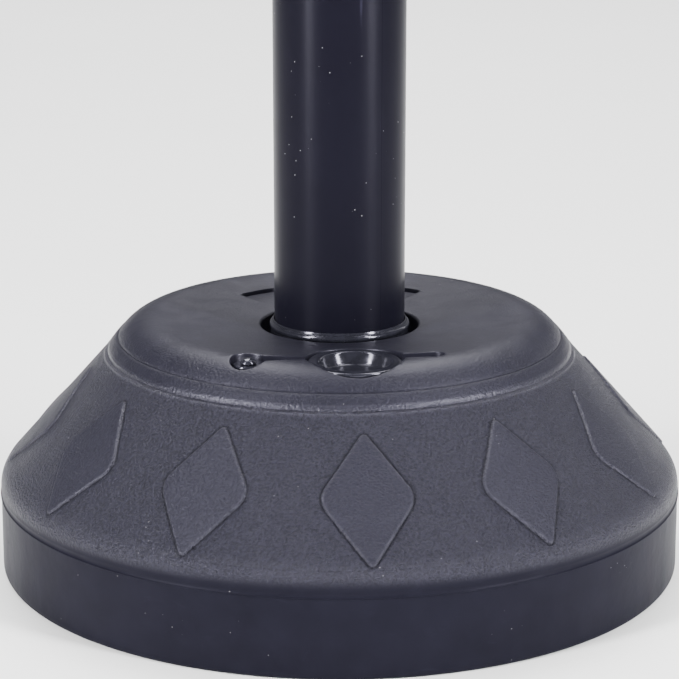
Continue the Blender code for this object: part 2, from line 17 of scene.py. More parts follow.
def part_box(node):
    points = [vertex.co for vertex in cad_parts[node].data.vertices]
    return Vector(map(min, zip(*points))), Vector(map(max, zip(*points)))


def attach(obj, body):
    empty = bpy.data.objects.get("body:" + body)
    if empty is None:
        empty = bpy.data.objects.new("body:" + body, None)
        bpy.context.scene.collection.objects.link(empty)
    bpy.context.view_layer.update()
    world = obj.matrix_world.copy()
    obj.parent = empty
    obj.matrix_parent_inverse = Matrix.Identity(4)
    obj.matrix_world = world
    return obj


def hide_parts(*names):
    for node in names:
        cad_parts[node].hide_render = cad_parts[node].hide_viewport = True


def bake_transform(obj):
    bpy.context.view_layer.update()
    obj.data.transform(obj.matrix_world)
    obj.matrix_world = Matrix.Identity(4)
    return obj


bl_info = {
    "name": "Tetherball Set",
    "version": (1, 0, 0),
    "blender": (4, 5, 0),
    "location": "View3D > Sidebar > Tetherball",
    "description": "Builds the finished surfaces of a tetherball base, pole and swivel round their frame",
    "category": "Add Mesh",
}

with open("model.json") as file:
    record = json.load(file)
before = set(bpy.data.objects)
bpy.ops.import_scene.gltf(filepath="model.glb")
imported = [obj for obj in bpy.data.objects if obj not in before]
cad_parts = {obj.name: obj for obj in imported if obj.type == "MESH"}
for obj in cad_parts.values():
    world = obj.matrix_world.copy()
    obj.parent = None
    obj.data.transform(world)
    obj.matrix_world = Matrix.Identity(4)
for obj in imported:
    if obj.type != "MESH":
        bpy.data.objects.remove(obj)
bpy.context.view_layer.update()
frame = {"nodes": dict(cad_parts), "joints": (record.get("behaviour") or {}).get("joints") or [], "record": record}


def low(node):
    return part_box(node)[0]


def high(node):
    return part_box(node)[1]


def middle(node):
    return (low(node) + high(node)) / 2


# ---------------------------------------------------------------- settings


def length(name, words, default):
    return FloatProperty(name=name, description=words, default=default, unit="LENGTH", precision=5)


def colour(name, words, default):
    return FloatVectorProperty(
        name=name, description=words, default=default, subtype="COLOR", size=3, min=0, max=1
    )


class TetherballBaseSettings(PropertyGroup):
    rim_radius: length("Rim radius", "Radius of the upright rim", high("base_tank").x - 0.0005)
    top_height: length("Top height", "Height of the crest round the top", high("base_tank").z)
    seam_height: length("Seam height", "Height of the parting line", 0.0451)
    fillet_radius: length("Fillet radius", "Rounding between the cone and the rim", 0.0155)
    shoulder_radius: length("Shoulder radius", "Rounding between the top and the band", 0.0253)
    mouth_radius: length("Mouth radius", "Radius of the well's mouth", 0.046)
    pad_count: IntProperty(name="Pads", description="Raised diamonds round the cone", default=12, min=3)
    pad_half_width: length("Pad half width", "Diamond's middle to its unrounded side corner", 0.0268)
    pad_half_length: length("Pad half length", "Diamond's middle to its unrounded tip", 0.0393)
    pad_rise: length("Pad rise", "How far a diamond stands proud of the cone", 0.0011)
    pad_crease: length("Crease depth", "Depth of the fine crease round a diamond", 0.0004)
    grip_depth: length("Grip depth", "Depth of the scoop behind the pole", 0.0022)
    dish: FloatProperty(
        name="Dish",
        description="Slope of the top, down towards the pole",
        default=radians(5.6),
        subtype="ANGLE",
    )


class TetherballPoleSettings(PropertyGroup):
    radius: length("Pole radius", "Outer radius of the tube", high("pole_upper").x)
    wall: length("Pole wall", "Thickness of the tube", 0.002)
    end_round: length("End rounding", "Rounding of a section's ends", 0.0006)


class TetherballColourSettings(PropertyGroup):
    plastic: colour("Base plastic", "Dark blue-grey moulded plastic", (0.0080, 0.0077, 0.0126))
    vinyl: colour("Vinyl", "Glossy black vinyl of the plug and sleeve", (0.010, 0.010, 0.014))
    paint: colour("Pole paint", "Satin black coat of the pole", (0.0043, 0.0040, 0.0072))
    nylon: colour("Nylon", "Black nylon of the cap and couplers", (0.018, 0.018, 0.021))
    zinc: colour("Zinc", "Bright zinc plate of the hardware", (0.60, 0.61, 0.64))
    spring: colour("Spring steel", "Oiled spring steel", (0.30, 0.30, 0.32))


class TetherballStageSettings(PropertyGroup):
    lens: FloatProperty(name="Lens", description="Focal length in millimetres", default=120.8, min=1)
    distance: length("Distance", "Level distance from the pole to the camera", 1.2914)
    eye_height: length("Eye height", "Height of the camera", 0.4734)
    aim_height: length("Aim height", "Height that the camera looks at", 0.12946)
    swing: FloatProperty(
        name="Swing",
        description="How far the camera stands round from the plug's side",
        default=radians(-5),
        subtype="ANGLE",
    )


def base_settings():
    return bpy.context.scene.tetherball_base


def colours():
    return bpy.context.scene.tetherball_colours


# ---------------------------------------------------------------- mesh tools


def arc(centre, radius, start, end, count):
    """Points (radius, height) on a circle, angles in degrees from +radius towards +height."""
    turns = [radians(start + (end - start) * i / (count - 1)) for i in range(count)]
    return [(centre[0] + radius * cos(a), centre[1] + radius * sin(a)) for a in turns]


def lathe(shape, profile, steps, closed=False, dent=None):
    """Turns (radius, height) points about Z into shape, a bmesh.

    dent(radius, height, angle) gives how far a point is lowered.
    """
    rings = []
    for r, z in profile:
        if r == 0:
            rings.append([shape.verts.new((0, 0, z))] * steps)
            continue
        ring = []
        for i in range(steps):
            a = 2 * pi * i / steps
            drop = dent(r, z, a) if dent else 0
            ring.append(shape.verts.new((r * cos(a), r * sin(a), z - drop)))
        rings.append(ring)
    pairs = list(zip(rings, rings[1:]))
    if closed:
        pairs.append((rings[-1], rings[0]))
    for above, below in pairs:
        for i in range(steps):
            j = (i + 1) % steps
            corners = []
            for vert in (above[i], below[i], below[j], above[j]):
                if vert not in corners:
                    corners.append(vert)
            if len(corners) > 2:
                shape.faces.new(corners)


def to_mesh(shape, name, smooth_angle=40):
    """Ends a bmesh: merges doubles, turns the faces outwards and shades it smooth."""
    bmesh.ops.remove_doubles(shape, verts=shape.verts, dist=0.000002)
    bmesh.ops.recalc_face_normals(shape, faces=shape.faces)
    mesh = bpy.data.meshes.new(name)
    shape.to_mesh(mesh)
    shape.free()
    mesh.shade_smooth()
    mesh.set_sharp_from_angle(angle=radians(smooth_angle))
    return mesh


def turned(name, profile, steps=64, move=None):
    """A mesh turned from a profile. A profile that starts and ends on the axis closes at its poles."""
    shape = bmesh.new()
    on_axis = profile[0][0] == 0 and profile[-1][0] == 0
    lathe(shape, profile, steps, not on_axis)
    if move:
        bmesh.ops.transform(shape, matrix=move, verts=shape.verts)
    return to_mesh(shape, name)


def bridge(shape, rings):
    """Joins each ring of vertices to the next with a band of faces."""
    count = len(rings[0])
    for one, two in zip(rings, rings[1:]):
        for i in range(count):
            j = (i + 1) % count
            shape.faces.new((one[i], one[j], two[j], two[i]))


def close_ends(shape, rings):
    shape.faces.new(rings[0][::-1])
    shape.faces.new(rings[-1])


def stack(name, outline, levels, move=None):
    """A solid of rings: outline(grow) gives a ring's points, and each level is (height, grow).

    A height may also be a function of a point, for a ring that follows a surface.
    """
    shape = bmesh.new()
    rings = []
    for level, grow in levels:
        ring = []
        for x, y in outline(grow):
            ring.append(shape.verts.new((x, y, level(x, y) if callable(level) else level)))
        rings.append(ring)
    bridge(shape, rings)
    close_ends(shape, rings)
    if move:
        bmesh.ops.transform(shape, matrix=move, verts=shape.verts)
    return to_mesh(shape, name)


def circle_outline(radius, at=(0, 0), count=96):
    def points(grow):
        r = radius + grow
        turns = [2 * pi * (i + 0.5) / count for i in range(count)]
        return [(at[0] + r * cos(a), at[1] + r * sin(a)) for a in turns]

    return points


def bar_outline(start, end, half, y, sides=16):
    """A bar along X from start to the far side of a round end at end."""
    side = 1 if end > start else -1
    centre = end - side * half

    def points(grow):
        w = half + grow
        turns = [radians(-90 + 180 * i / sides) for i in range(sides + 1)]
        tip = [(centre + side * w * cos(a), y + side * w * sin(a)) for a in turns]
        return [(start, y - side * w), *tip, (start, y + side * w)]

    return points


def temporary(mesh):
    thing = bpy.data.objects.new(mesh.name, mesh)
    bpy.context.scene.collection.objects.link(thing)
    return thing


def evaluated(thing, name):
    """The mesh that an object's modifiers make. The object is removed."""
    graph = bpy.context.evaluated_depsgraph_get()
    graph.update()
    mesh = bpy.data.meshes.new_from_object(thing.evaluated_get(graph))
    mesh.name = name
    bpy.data.objects.remove(thing, do_unlink=True)
    return mesh


def combine(mesh, others, operation):
    """Cuts, joins or intersects a closed mesh with others."""
    thing = temporary(mesh)
    helpers = [temporary(other) for other in others]
    for helper in helpers:
        step = thing.modifiers.new("Combine", "BOOLEAN")
        step.operation = operation
        step.solver = "EXACT"
        step.object = helper
    result = evaluated(thing, mesh.name)
    for helper in helpers:
        bpy.data.objects.remove(helper, do_unlink=True)
    return result


def forged(name, meshes, grain, passes):
    """Closed shapes that overlap, blended into one as a forging is."""
    shape = bmesh.new()
    for mesh in meshes:
        shape.from_mesh(mesh)
    thing = temporary(to_mesh(shape, name))
    remesh = thing.modifiers.new("Blend", "REMESH")
    remesh.mode = "VOXEL"
    remesh.voxel_size = grain
    remesh.use_smooth_shade = True
    soften = thing.modifiers.new("Soften", "SMOOTH")
    soften.factor = 0.5
    soften.iterations = passes
    mesh = evaluated(thing, name)
    mesh.shade_smooth()
    return mesh


def piece(name, mesh, body, finish, nodes, smooth_angle=None):
    """Puts a finished mesh in the scene, on its body, in place of its CAD nodes."""
    if not mesh.polygons:
        raise RuntimeError(f"{name} has no faces")
    if smooth_angle:
        mesh.shade_smooth()
        mesh.set_sharp_from_angle(angle=radians(smooth_angle))
    mesh.materials.clear()
    mesh.materials.append(finish)
    thing = bpy.data.objects.new(name, mesh)
    bpy.context.scene.collection.objects.link(thing)
    if body:
        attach(thing, body)
    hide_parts(*nodes)
    return thing


# ---------------------------------------------------------------- geometry node tools


def socket_key(key):
    """A node input from a keyword: _ stands for a space, and n with digits is the input's number."""
    return int(key[1:]) if key[0] == "n" and key[1:].isdigit() else key.replace("_", " ")


class Wiring:
    """Builds a geometry node tree. Inputs are named, and given as name, socket type and default."""

    def __init__(self, name, inputs):
        self.tree = bpy.data.node_groups.new(name, "GeometryNodeTree")
        face = self.tree.interface
        face.new_socket("Geometry", in_out="INPUT", socket_type="NodeSocketGeometry")
        for label, kind, default in inputs:
            socket = face.new_socket(label, in_out="INPUT", socket_type=kind)
            if default is not None:
                socket.default_value = default
        face.new_socket("Geometry", in_out="OUTPUT", socket_type="NodeSocketGeometry")
        self.start = self.tree.nodes.new("NodeGroupInput")
        self.end = self.tree.nodes.new("NodeGroupOutput")

    def given(self, label):
        return self.start.outputs[label]

    def add(self, kind, settings=None, **links):
        """Adds a node, with its settings and what goes into its sockets."""
        node = self.tree.nodes.new(kind)
        for key, value in (settings or {}).items():
            setattr(node, key, value)
        for key, value in links.items():
            socket = node.inputs[socket_key(key)]
            if isinstance(value, bpy.types.NodeSocket):
                self.tree.links.new(value, socket)
            else:
                socket.default_value = value
        return node

    def finish(self, geometry):
        """Realizes the copies, gives them the finish and ends the tree."""
        real = self.add("GeometryNodeRealizeInstances", Geometry=geometry)
        dressed = self.add(
            "GeometryNodeSetMaterial", Geometry=real.outputs[0], Material=self.given("Finish")
        )
        self.tree.links.new(dressed.outputs[0], self.end.inputs[0])
        return self.tree


def run_tree(mesh, tree, values, name):
    """Runs a node tree on a mesh with named values, and returns the plain mesh that it makes."""
    thing = temporary(mesh)
    step = thing.modifiers.new("Nodes", "NODES")
    step.node_group = tree
    sockets = {s.name: s.identifier for s in tree.interface.items_tree if s.in_out == "INPUT"}
    for label, value in values.items():
        step[sockets[label]] = value
    return evaluated(thing, name)


def repeat_round_tree():
    """Copies one tile round Z and welds the copies where they meet."""
    wiring = Wiring(
        "Repeat Round",
        [
            ("Count", "NodeSocketInt", 12),
            ("Weld", "NodeSocketFloat", 0.00001),
            ("Finish", "NodeSocketMaterial", None),
        ],
    )
    count = wiring.given("Count")
    line = wiring.add("GeometryNodeMeshLine", {"mode": "OFFSET"}, Count=count)
    line.inputs["Offset"].default_value = (0, 0, 0)
    index = wiring.add("GeometryNodeInputIndex")
    share = wiring.add("ShaderNodeMath", {"operation": "DIVIDE"}, n0=index.outputs[0], n1=count)
    angle = wiring.add("ShaderNodeMath", {"operation": "MULTIPLY"}, n0=share.outputs[0], n1=2 * pi)
    turn = wiring.add("ShaderNodeCombineXYZ", Z=angle.outputs[0])
    copies = wiring.add(
        "GeometryNodeInstanceOnPoints",
        Points=line.outputs[0],
        Instance=wiring.given("Geometry"),
        Rotation=turn.outputs[0],
    )
    real = wiring.add("GeometryNodeRealizeInstances", Geometry=copies.outputs[0])
    weld = wiring.given("Weld")
    welded = wiring.add("GeometryNodeMergeByDistance", Geometry=real.outputs[0], Distance=weld)
    return wiring.finish(welded.outputs[0])


def fastener_tree():
    """Sets one fastener at each point, turned about Z by the point's own Turn value."""
    wiring = Wiring(
        "Set Fasteners", [("Fastener", "NodeSocketObject", None), ("Finish", "NodeSocketMaterial", None)]
    )
    made = wiring.add("GeometryNodeObjectInfo", Object=wiring.given("Fastener"))
    turn = wiring.add("GeometryNodeInputNamedAttribute", {"data_type": "FLOAT"}, Name="turn")
    angles = wiring.add("ShaderNodeCombineXYZ", Z=turn.outputs[0])
    copies = wiring.add(
        "GeometryNodeInstanceOnPoints",
        Points=wiring.given("Geometry"),
        Instance=made.outputs["Geometry"],
        Rotation=angles.outputs[0],
    )
    return wiring.finish(copies.outputs[0])


def burr_tree():
    """Scatters small slivers of flash along a ring of edges, each with its own length."""
    wiring = Wiring(
        "Flash Burrs",
        [
            ("Count", "NodeSocketInt", 60),
            ("Length", "NodeSocketFloat", 0.004),
            ("Height", "NodeSocketFloat", 0.0006),
            ("Depth", "NodeSocketFloat", 0.0003),
            ("Seed", "NodeSocketInt", 4),
            ("Finish", "NodeSocketMaterial", None),
        ],
    )
    ring = wiring.add("GeometryNodeMeshToCurve", Mesh=wiring.given("Geometry"))
    points = wiring.add("GeometryNodeCurveToPoints", {"mode": "COUNT"}, Curve=ring.outputs[0])
    wiring.tree.links.new(wiring.given("Count"), points.inputs["Count"])
    size = wiring.add("ShaderNodeCombineXYZ")
    for label, axis in (("Depth", "X"), ("Length", "Y"), ("Height", "Z")):
        wiring.tree.links.new(wiring.given(label), size.inputs[axis])
    sliver = wiring.add("GeometryNodeMeshIcoSphere", Radius=0.5, Subdivisions=2)
    chance = wiring.add("FunctionNodeRandomValue", {"data_type": "FLOAT"}, Seed=wiring.given("Seed"))
    left_out = 0.45  # share of the places that get no sliver
    least, more = 0.3, 1.2  # a sliver's size, as a factor: the least, and how much more by chance
    keep = wiring.add(
        "ShaderNodeMath", {"operation": "GREATER_THAN"}, n0=chance.outputs[1], n1=left_out
    )
    stretch = wiring.add("FunctionNodeRandomValue", {"data_type": "FLOAT"}, Seed=7)
    spread = wiring.add(
        "ShaderNodeMath", {"operation": "MULTIPLY_ADD"}, n0=stretch.outputs[1], n1=more, n2=least
    )
    scale = wiring.add(
        "ShaderNodeVectorMath", {"operation": "SCALE"}, n0=size.outputs[0], Scale=spread.outputs[0]
    )
    place = wiring.add("GeometryNodeInputPosition")
    split = wiring.add("ShaderNodeSeparateXYZ", n0=place.outputs[0])
    x, y = split.outputs[0], split.outputs[1]
    angle = wiring.add("ShaderNodeMath", {"operation": "ARCTAN2"}, n0=y, n1=x)
    turn = wiring.add("ShaderNodeCombineXYZ", Z=angle.outputs[0])
    copies = wiring.add(
        "GeometryNodeInstanceOnPoints",
        Points=points.outputs["Points"],
        Selection=keep.outputs[0],
        Instance=sliver.outputs["Mesh"],
        Rotation=turn.outputs[0],
        Scale=scale.outputs[0],
    )
    return wiring.finish(copies.outputs[0])


# ---------------------------------------------------------------- material tools


class Recipe:
    """A material whose look is mixed from nodes, on the piece's own Object coordinates."""

    def __init__(self, name, **plain):
        self.material = bpy.data.materials.new(name)
        self.material.use_nodes = True
        self.tree = self.material.node_tree
        self.shader = self.tree.nodes["Principled BSDF"]
        for label, value in plain.items():
            self.shader.inputs[label.replace("_", " ")].default_value = value
        self.place = self.tree.nodes.new("ShaderNodeTexCoord").outputs["Object"]
        self.relief = None

    def node(self, kind, settings=None, **links):
        made = self.tree.nodes.new(kind)
        for key, value in (settings or {}).items():
            setattr(made, key, value)
        for key, value in links.items():
            self.feed(made.inputs[socket_key(key)], value)
        return made

    def feed(self, socket, value):
        if isinstance(value, bpy.types.NodeSocket):
            self.tree.links.new(value, socket)
        elif value is not None:
            socket.default_value = value

    def maths(self, operation, a, b=0.0, c=None, clamp=False):
        made = self.node("ShaderNodeMath", {"operation": operation, "use_clamp": clamp}, n0=a, n1=b)
        if c is not None:
            self.feed(made.inputs[2], c)
        return made.outputs[0]

    def scaled(self, x, y, z):
        """The place, stretched by a factor along each axis."""
        return self.node("ShaderNodeMapping", n0=self.place, Scale=(x, y, z)).outputs[0]

    def noise(self, scale, detail=3.0, rough=0.5, place=None, bend=0.0):
        where = place or self.place
        made = self.node("ShaderNodeTexNoise", Vector=where, Scale=scale, Detail=detail)
        made.inputs["Roughness"].default_value = rough
        made.inputs["Distortion"].default_value = bend
        return made.outputs[0]

    def cells(self, scale, place=None, feature="F1", output="Distance"):
        where = place or self.place
        made = self.node("ShaderNodeTexVoronoi", {"feature": feature}, Vector=where, Scale=scale)
        return made.outputs[output]

    def spread(self, value, start, end, to_low=0.0, to_high=1.0, smooth=False):
        """Maps a value from start..end to a new range, and holds it there."""
        made = self.node("ShaderNodeMapRange", {"clamp": True}, Value=value)
        if smooth:
            made.interpolation_type = "SMOOTHSTEP"
        labels = ("From Min", "From Max", "To Min", "To Max")
        for label, number in zip(labels, (start, end, to_low, to_high)):
            self.feed(made.inputs[label], number)
        return made.outputs[0]

    def mix(self, share, a, b):
        made = self.node("ShaderNodeMix", {"data_type": "RGBA"})
        self.feed(made.inputs[0], share)
        for socket, value in ((made.inputs[6], a), (made.inputs[7], b)):
            plain = value if isinstance(value, bpy.types.NodeSocket) else (*value, 1.0)
            self.feed(socket, plain)
        return made.outputs[2]

    def own(self, name):
        return self.node("ShaderNodeAttribute", {"attribute_name": name}).outputs["Fac"]

    def bump(self, height, depth, strength=1.0):
        """Adds relief. depth is in metres."""
        made = self.node("ShaderNodeBump", Height=height)
        made.inputs["Distance"].default_value = depth
        made.inputs["Strength"].default_value = strength
        if self.relief:
            self.feed(made.inputs["Normal"], self.relief)
        self.relief = made.outputs[0]

    def finish(self, base=None, roughness=None):
        self.feed(self.shader.inputs["Base Color"], base)
        self.feed(self.shader.inputs["Roughness"], roughness)
        if self.relief:
            self.feed(self.shader.inputs["Normal"], self.relief)
        return self.material


def lighter(rgb, factor):
    return tuple(min(1.0, c * factor) for c in rgb)


def made_once(build):
    """Keeps the material that build makes, so that every piece of one finish shares it."""
    kept = []

    def fetch():
        if not kept:
            kept.append(build())
        return kept[0]

    return fetch


COOL = (0.84, 0.82, 1.0)  # the tint that black plastic and paint give to what they reflect


@made_once
def moulded_plastic():
    """Blow-moulded plastic: pebble grain on the cone, a smoother top and rim, scuffs and dust, with painted shade
    in the creases round the diamonds and on the rim.
    """
    recipe = Recipe("moulded_plastic", IOR=1.46, Specular_Tint=(*COOL, 1))
    rgb = tuple(colours().plastic)
    split = recipe.node("ShaderNodeSeparateXYZ", n0=recipe.place)
    x, y, z = split.outputs
    square = recipe.maths("ADD", recipe.maths("MULTIPLY", x, x), recipe.maths("MULTIPLY", y, y))
    r = recipe.maths("SQRT", square)
    above_rim = recipe.spread(z, 0.049, 0.056, smooth=True)
    below_band = recipe.spread(z, 0.1255, 0.1275, 1.0, 0.35)
    off_top = recipe.spread(r, 0.118, 0.128, 0.25, 1.0, smooth=True)
    grained = recipe.maths("MULTIPLY", recipe.maths("MULTIPLY", above_rim, below_band), off_top)
    quiet_rim = recipe.spread(above_rim, 0, 1, 0.08, 0.48)
    quiet_cone = recipe.spread(r, 0.103, 0.116, 0.68, 0.48, smooth=True)
    sheen = recipe.maths("MULTIPLY", quiet_rim, quiet_cone)
    pad = recipe.own("pad")
    under_groove = recipe.spread(z, 0.1285, 0.1295, 1.0, 0.0)
    on_step = recipe.maths("MULTIPLY", recipe.spread(z, 0.1235, 0.1250), under_groove)
    on_fillet = recipe.maths("MULTIPLY", above_rim, recipe.spread(z, 0.0585, 0.0630, 0.35, 0.0))
    off_face = recipe.spread(pad, 0.9, 1.0, 0.7, 0.0)
    on_edge = recipe.maths("MULTIPLY", recipe.spread(pad, 0.02, 0.2), off_face)
    polished = recipe.maths("MAXIMUM", on_step, recipe.maths("MAXIMUM", on_fillet, on_edge))
    sheen = recipe.maths("ADD", sheen, recipe.maths("MULTIPLY", polished, 0.30))
    recipe.feed(recipe.shader.inputs["Specular IOR Level"], sheen)
    grained = recipe.maths("MULTIPLY", grained, recipe.spread(pad, 0, 1, 1.0, 0.55))
    # crease marks the crease round each diamond; below it sets where shade is painted into the colour
    crease = recipe.own("crease")
    cloud = recipe.noise(9.0, 4.0, 0.55)
    mottle = recipe.noise(55.0, 5.0, 0.6)
    grain = recipe.noise(680.0, 3.0, 0.6, bend=0.5)
    pebble = recipe.cells(640.0, recipe.scaled(1, 1, 1.15), "SMOOTH_F1")
    fine = recipe.noise(2400.0, 2.0, 0.6)
    streak = recipe.noise(60.0, 4.0, 0.6, recipe.scaled(1.0, 1.0, 0.12))
    rubbed = recipe.noise(38.0, 6.0, 0.72, recipe.scaled(1, 1, 2.2), bend=0.8)
    scuff = recipe.spread(rubbed, 0.60, 0.74)
    specks = recipe.spread(recipe.cells(170.0), 0.055, 0.035)
    rare = recipe.spread(recipe.noise(31.0, 1.0), 0.56, 0.60)
    specks = recipe.maths("MULTIPLY", specks, rare)
    base = recipe.mix(recipe.spread(cloud, 0.3, 0.7), lighter(rgb, 0.90), lighter(rgb, 1.08))
    base = recipe.mix(recipe.spread(mottle, 0.35, 0.75, 0.0, 0.60), base, lighter(rgb, 1.45))
    stones = recipe.maths("MULTIPLY", pebble, 0.35)
    texture = recipe.maths("ADD", recipe.maths("MULTIPLY", grain, 0.75), stones)
    pitted = recipe.mix(recipe.spread(texture, 0.42, 0.62), lighter(rgb, 0.50), lighter(rgb, 1.75))
    base = recipe.mix(recipe.maths("MULTIPLY", grained, 0.75), base, pitted)
    base = recipe.mix(recipe.maths("MULTIPLY", pad, 0.35), base, lighter(rgb, 1.30))
    # Painted shade: the crease round each diamond is darkened, standing in for the shade that falls in it
    base = recipe.mix(recipe.maths("MULTIPLY", crease, 0.75), base, lighter(rgb, 0.35))
    base = recipe.mix(recipe.maths("MULTIPLY", scuff, 0.45), base, lighter(rgb, 2.2))
    base = recipe.mix(recipe.maths("MULTIPLY", specks, 0.6), base, (0.35, 0.34, 0.36))
    # Painted shade: the rim below the fillet is darkened, standing in for the dimmer light that reaches it
    base = recipe.mix(recipe.spread(above_rim, 0, 1, 0.20, 0.0), base, lighter(rgb, 0.45))
    rough = recipe.spread(streak, 0.3, 0.7, 0.37, 0.45)
    rough = recipe.maths("ADD", rough, recipe.maths("MULTIPLY", grained, 0.06))
    rough = recipe.maths("ADD", rough, recipe.maths("MULTIPLY", scuff, 0.10))
    rough = recipe.maths("SUBTRACT", rough, recipe.maths("MULTIPLY", polished, 0.12), clamp=True)
    recipe.bump(cloud, 0.0030, 0.30)
    recipe.bump(mottle, 0.00045, 0.6)
    recipe.bump(recipe.maths("MULTIPLY", texture, grained), 0.0019, 1.0)
    recipe.bump(fine, 0.000022, 0.7)
    return recipe.finish(base, rough)


@made_once
def soft_vinyl():
    """Flexible vinyl: glossy, slightly wavy, with a little bloom."""
    recipe = Recipe("soft_vinyl_gloss", IOR=1.52, Specular_Tint=(*COOL, 1))
    rgb = tuple(colours().vinyl)
    haze = recipe.noise(130.0, 4.0, 0.6)
    base = recipe.mix(recipe.spread(haze, 0.4, 0.75, 0.0, 0.6), rgb, lighter(rgb, 2.2))
    rough = recipe.spread(recipe.noise(240.0, 3.0, 0.6), 0.3, 0.7, 0.10, 0.22)
    recipe.bump(recipe.noise(95.0, 2.0, 0.5), 0.00022, 0.5)
    recipe.bump(recipe.noise(900.0, 2.0, 0.5), 0.00002, 0.5)
    return recipe.finish(base, rough)


@made_once
def pole_paint():
    """Satin black coat on tube: drawn streaks under it, orange peel, hairline scratches and specks."""
    recipe = Recipe("pole_satin_black", IOR=1.4, Specular_IOR_Level=0.065, Specular_Tint=(*COOL, 1))
    rgb = tuple(colours().paint)
    drawn = recipe.noise(300.0, 3.0, 0.6, recipe.scaled(1, 1, 0.006))
    cloud = recipe.noise(14.0, 4.0, 0.6)
    peel = recipe.noise(850.0, 2.0, 0.5)
    line = recipe.noise(420.0, 2.0, 0.4, recipe.scaled(1, 1, 0.03), bend=0.15)
    patches = recipe.spread(cloud, 0.52, 0.60)
    scratch = recipe.maths("MULTIPLY", recipe.spread(line, 0.70, 0.76), patches)
    dots = recipe.spread(recipe.cells(210.0), 0.075, 0.05)
    rare = recipe.spread(recipe.noise(23.0, 1.0), 0.57, 0.60)
    specks = recipe.maths("MULTIPLY", dots, rare)
    base = recipe.mix(recipe.spread(cloud, 0.3, 0.7), rgb, lighter(rgb, 1.25))
    base = recipe.mix(recipe.maths("MULTIPLY", scratch, 0.5), base, lighter(rgb, 5.0))
    base = recipe.mix(recipe.maths("MULTIPLY", specks, 0.8), base, (0.30, 0.30, 0.32))
    rough = recipe.spread(drawn, 0.3, 0.7, 0.27, 0.34)
    rough = recipe.maths("ADD", rough, recipe.maths("MULTIPLY", scratch, 0.15))
    recipe.bump(drawn, 0.00004, 0.6)
    recipe.bump(peel, 0.000018, 0.8)
    return recipe.finish(base, rough)


@made_once
def nylon():
    """Moulded black nylon: satin, with a fine even grain."""
    recipe = Recipe("moulded_nylon", IOR=1.53)
    rgb = tuple(colours().nylon)
    cloud = recipe.noise(40.0, 4.0, 0.6)
    base = recipe.mix(recipe.spread(cloud, 0.35, 0.7), rgb, lighter(rgb, 1.5))
    rough = recipe.spread(recipe.noise(320.0, 3.0), 0.3, 0.7, 0.38, 0.50)
    recipe.bump(recipe.noise(1500.0, 2.0), 0.00004, 0.8)
    return recipe.finish(base, rough)


def plated(name, rgb, rough_low, rough_high, dull):
    """A plated or oiled metal: patchy crystals, fine polishing lines and dull spots."""
    recipe = Recipe(name, Metallic=1.0)
    patch = recipe.cells(260.0, output="Color")
    cloud = recipe.noise(120.0, 4.0, 0.6)
    line = recipe.noise(700.0, 3.0, 0.6, recipe.scaled(1, 1, 0.15))
    base = recipe.mix(recipe.spread(cloud, 0.35, 0.7), rgb, lighter(rgb, dull))
    base = recipe.mix(recipe.spread(patch, 0.2, 0.9, 0.0, 0.18), base, (0.72, 0.69, 0.60))
    rough = recipe.spread(cloud, 0.3, 0.75, rough_low, rough_high)
    rough = recipe.maths("ADD", rough, recipe.spread(patch, 0, 1, 0, 0.06))
    recipe.bump(line, 0.00003, 0.5)
    return recipe.finish(base, rough)


@made_once
def bright_zinc():
    return plated("bright_zinc_plate", tuple(colours().zinc), 0.20, 0.36, 0.72)


@made_once
def spring_steel():
    return plated("oiled_spring_steel", tuple(colours().spring), 0.26, 0.42, 0.60)


# ---------------------------------------------------------------- base


CONE_TOP = Vector((0.1364, 0.1256))  # radius and height where the band's step meets the cone
CONE_FOOT = Vector((0.1960, 0.0590))
CONE_RUN = (CONE_FOOT - CONE_TOP).normalized()
CONE_OUT = Vector((-CONE_RUN.y, CONE_RUN.x))  # square to the cone, outwards
CONE_LENGTH = (CONE_FOOT - CONE_TOP).length
TILE_START = 0.0020  # along the cone from CONE_TOP to the tiles' upper edge
PAD_MIDDLE = 0.0501  # along the cone from CONE_TOP to a diamond's middle
TIP_ROUND = 0.0025
SIDE_ROUND = 0.0120
HALF_TILE_STEPS = 12  # along half of a tile's upper or lower edge
SIDE_STEPS = 12  # along half of a tile's side edge
BAND_TOP = Vector((0.1290, 0.1348))
RIM_TOP = 0.049  # height where the fillet over the rim starts
GAP = 0.0003  # between pieces that touch
PLUG_SEAT = 0.1389  # height of the ledge under the plug's flange
SEAT_RADIUS = 0.0275
NECK_RADIUS = 0.0231
CUP_FLOOR = 0.1357  # height of the floor of the plug's cup
STRAP_FLOOR = 0.1406  # height of the floor of the strap's channel
GRIP_INNER = 0.0575
GRIP_OUTER = 0.0812
GRIP_ANGLE = 43.5
# Radii of the rows of points over the top, closer together at the scoop's wall
GRIP_ROWS = (
    *(0.054, 0.060, 0.064, 0.068, 0.072, 0.076, 0.079),
    *(0.0802, 0.0808, 0.0812, 0.0816, 0.0824, 0.088, 0.096),
)

# How a diamond's surface runs across its edge: distance outside the edge, share of the rise, share of
# the crease, both of them from 0 to 1
# The crease share also sets the painted shade that darkens the plastic's colour in the crease.
PAD_EDGE = (
    (-0.0020, 1.00, 0.0),
    (-0.0012, 0.97, 0.0),
    (-0.0008, 0.80, 0.0),
    (-0.0004, 0.45, 0.1),
    (-0.0001, 0.12, 0.5),
    (0.0002, 0.0, 0.9),
    (0.0005, 0.0, 1.0),
    (0.0008, 0.0, 0.75),
    (0.0011, 0.0, 0.30),
    (0.0015, 0.0, 0.05),
    (0.0018, 0.0, 0.0),
)


def cone_point(angle, along, rise=0.0):
    """A point on the cone, at an angle from +X and a distance down the slope."""
    spot = CONE_TOP + CONE_RUN * along + CONE_OUT * rise
    return Vector((spot.x * cos(angle), spot.x * sin(angle), spot.y))


def whole_loop(quarter):
    """A loop from its first quarter, which runs from the top middle to the right middle."""
    right = quarter + [(x, -y) for x, y in quarter[-2::-1]]
    return right + [(-x, y) for x, y in right[-2:0:-1]]


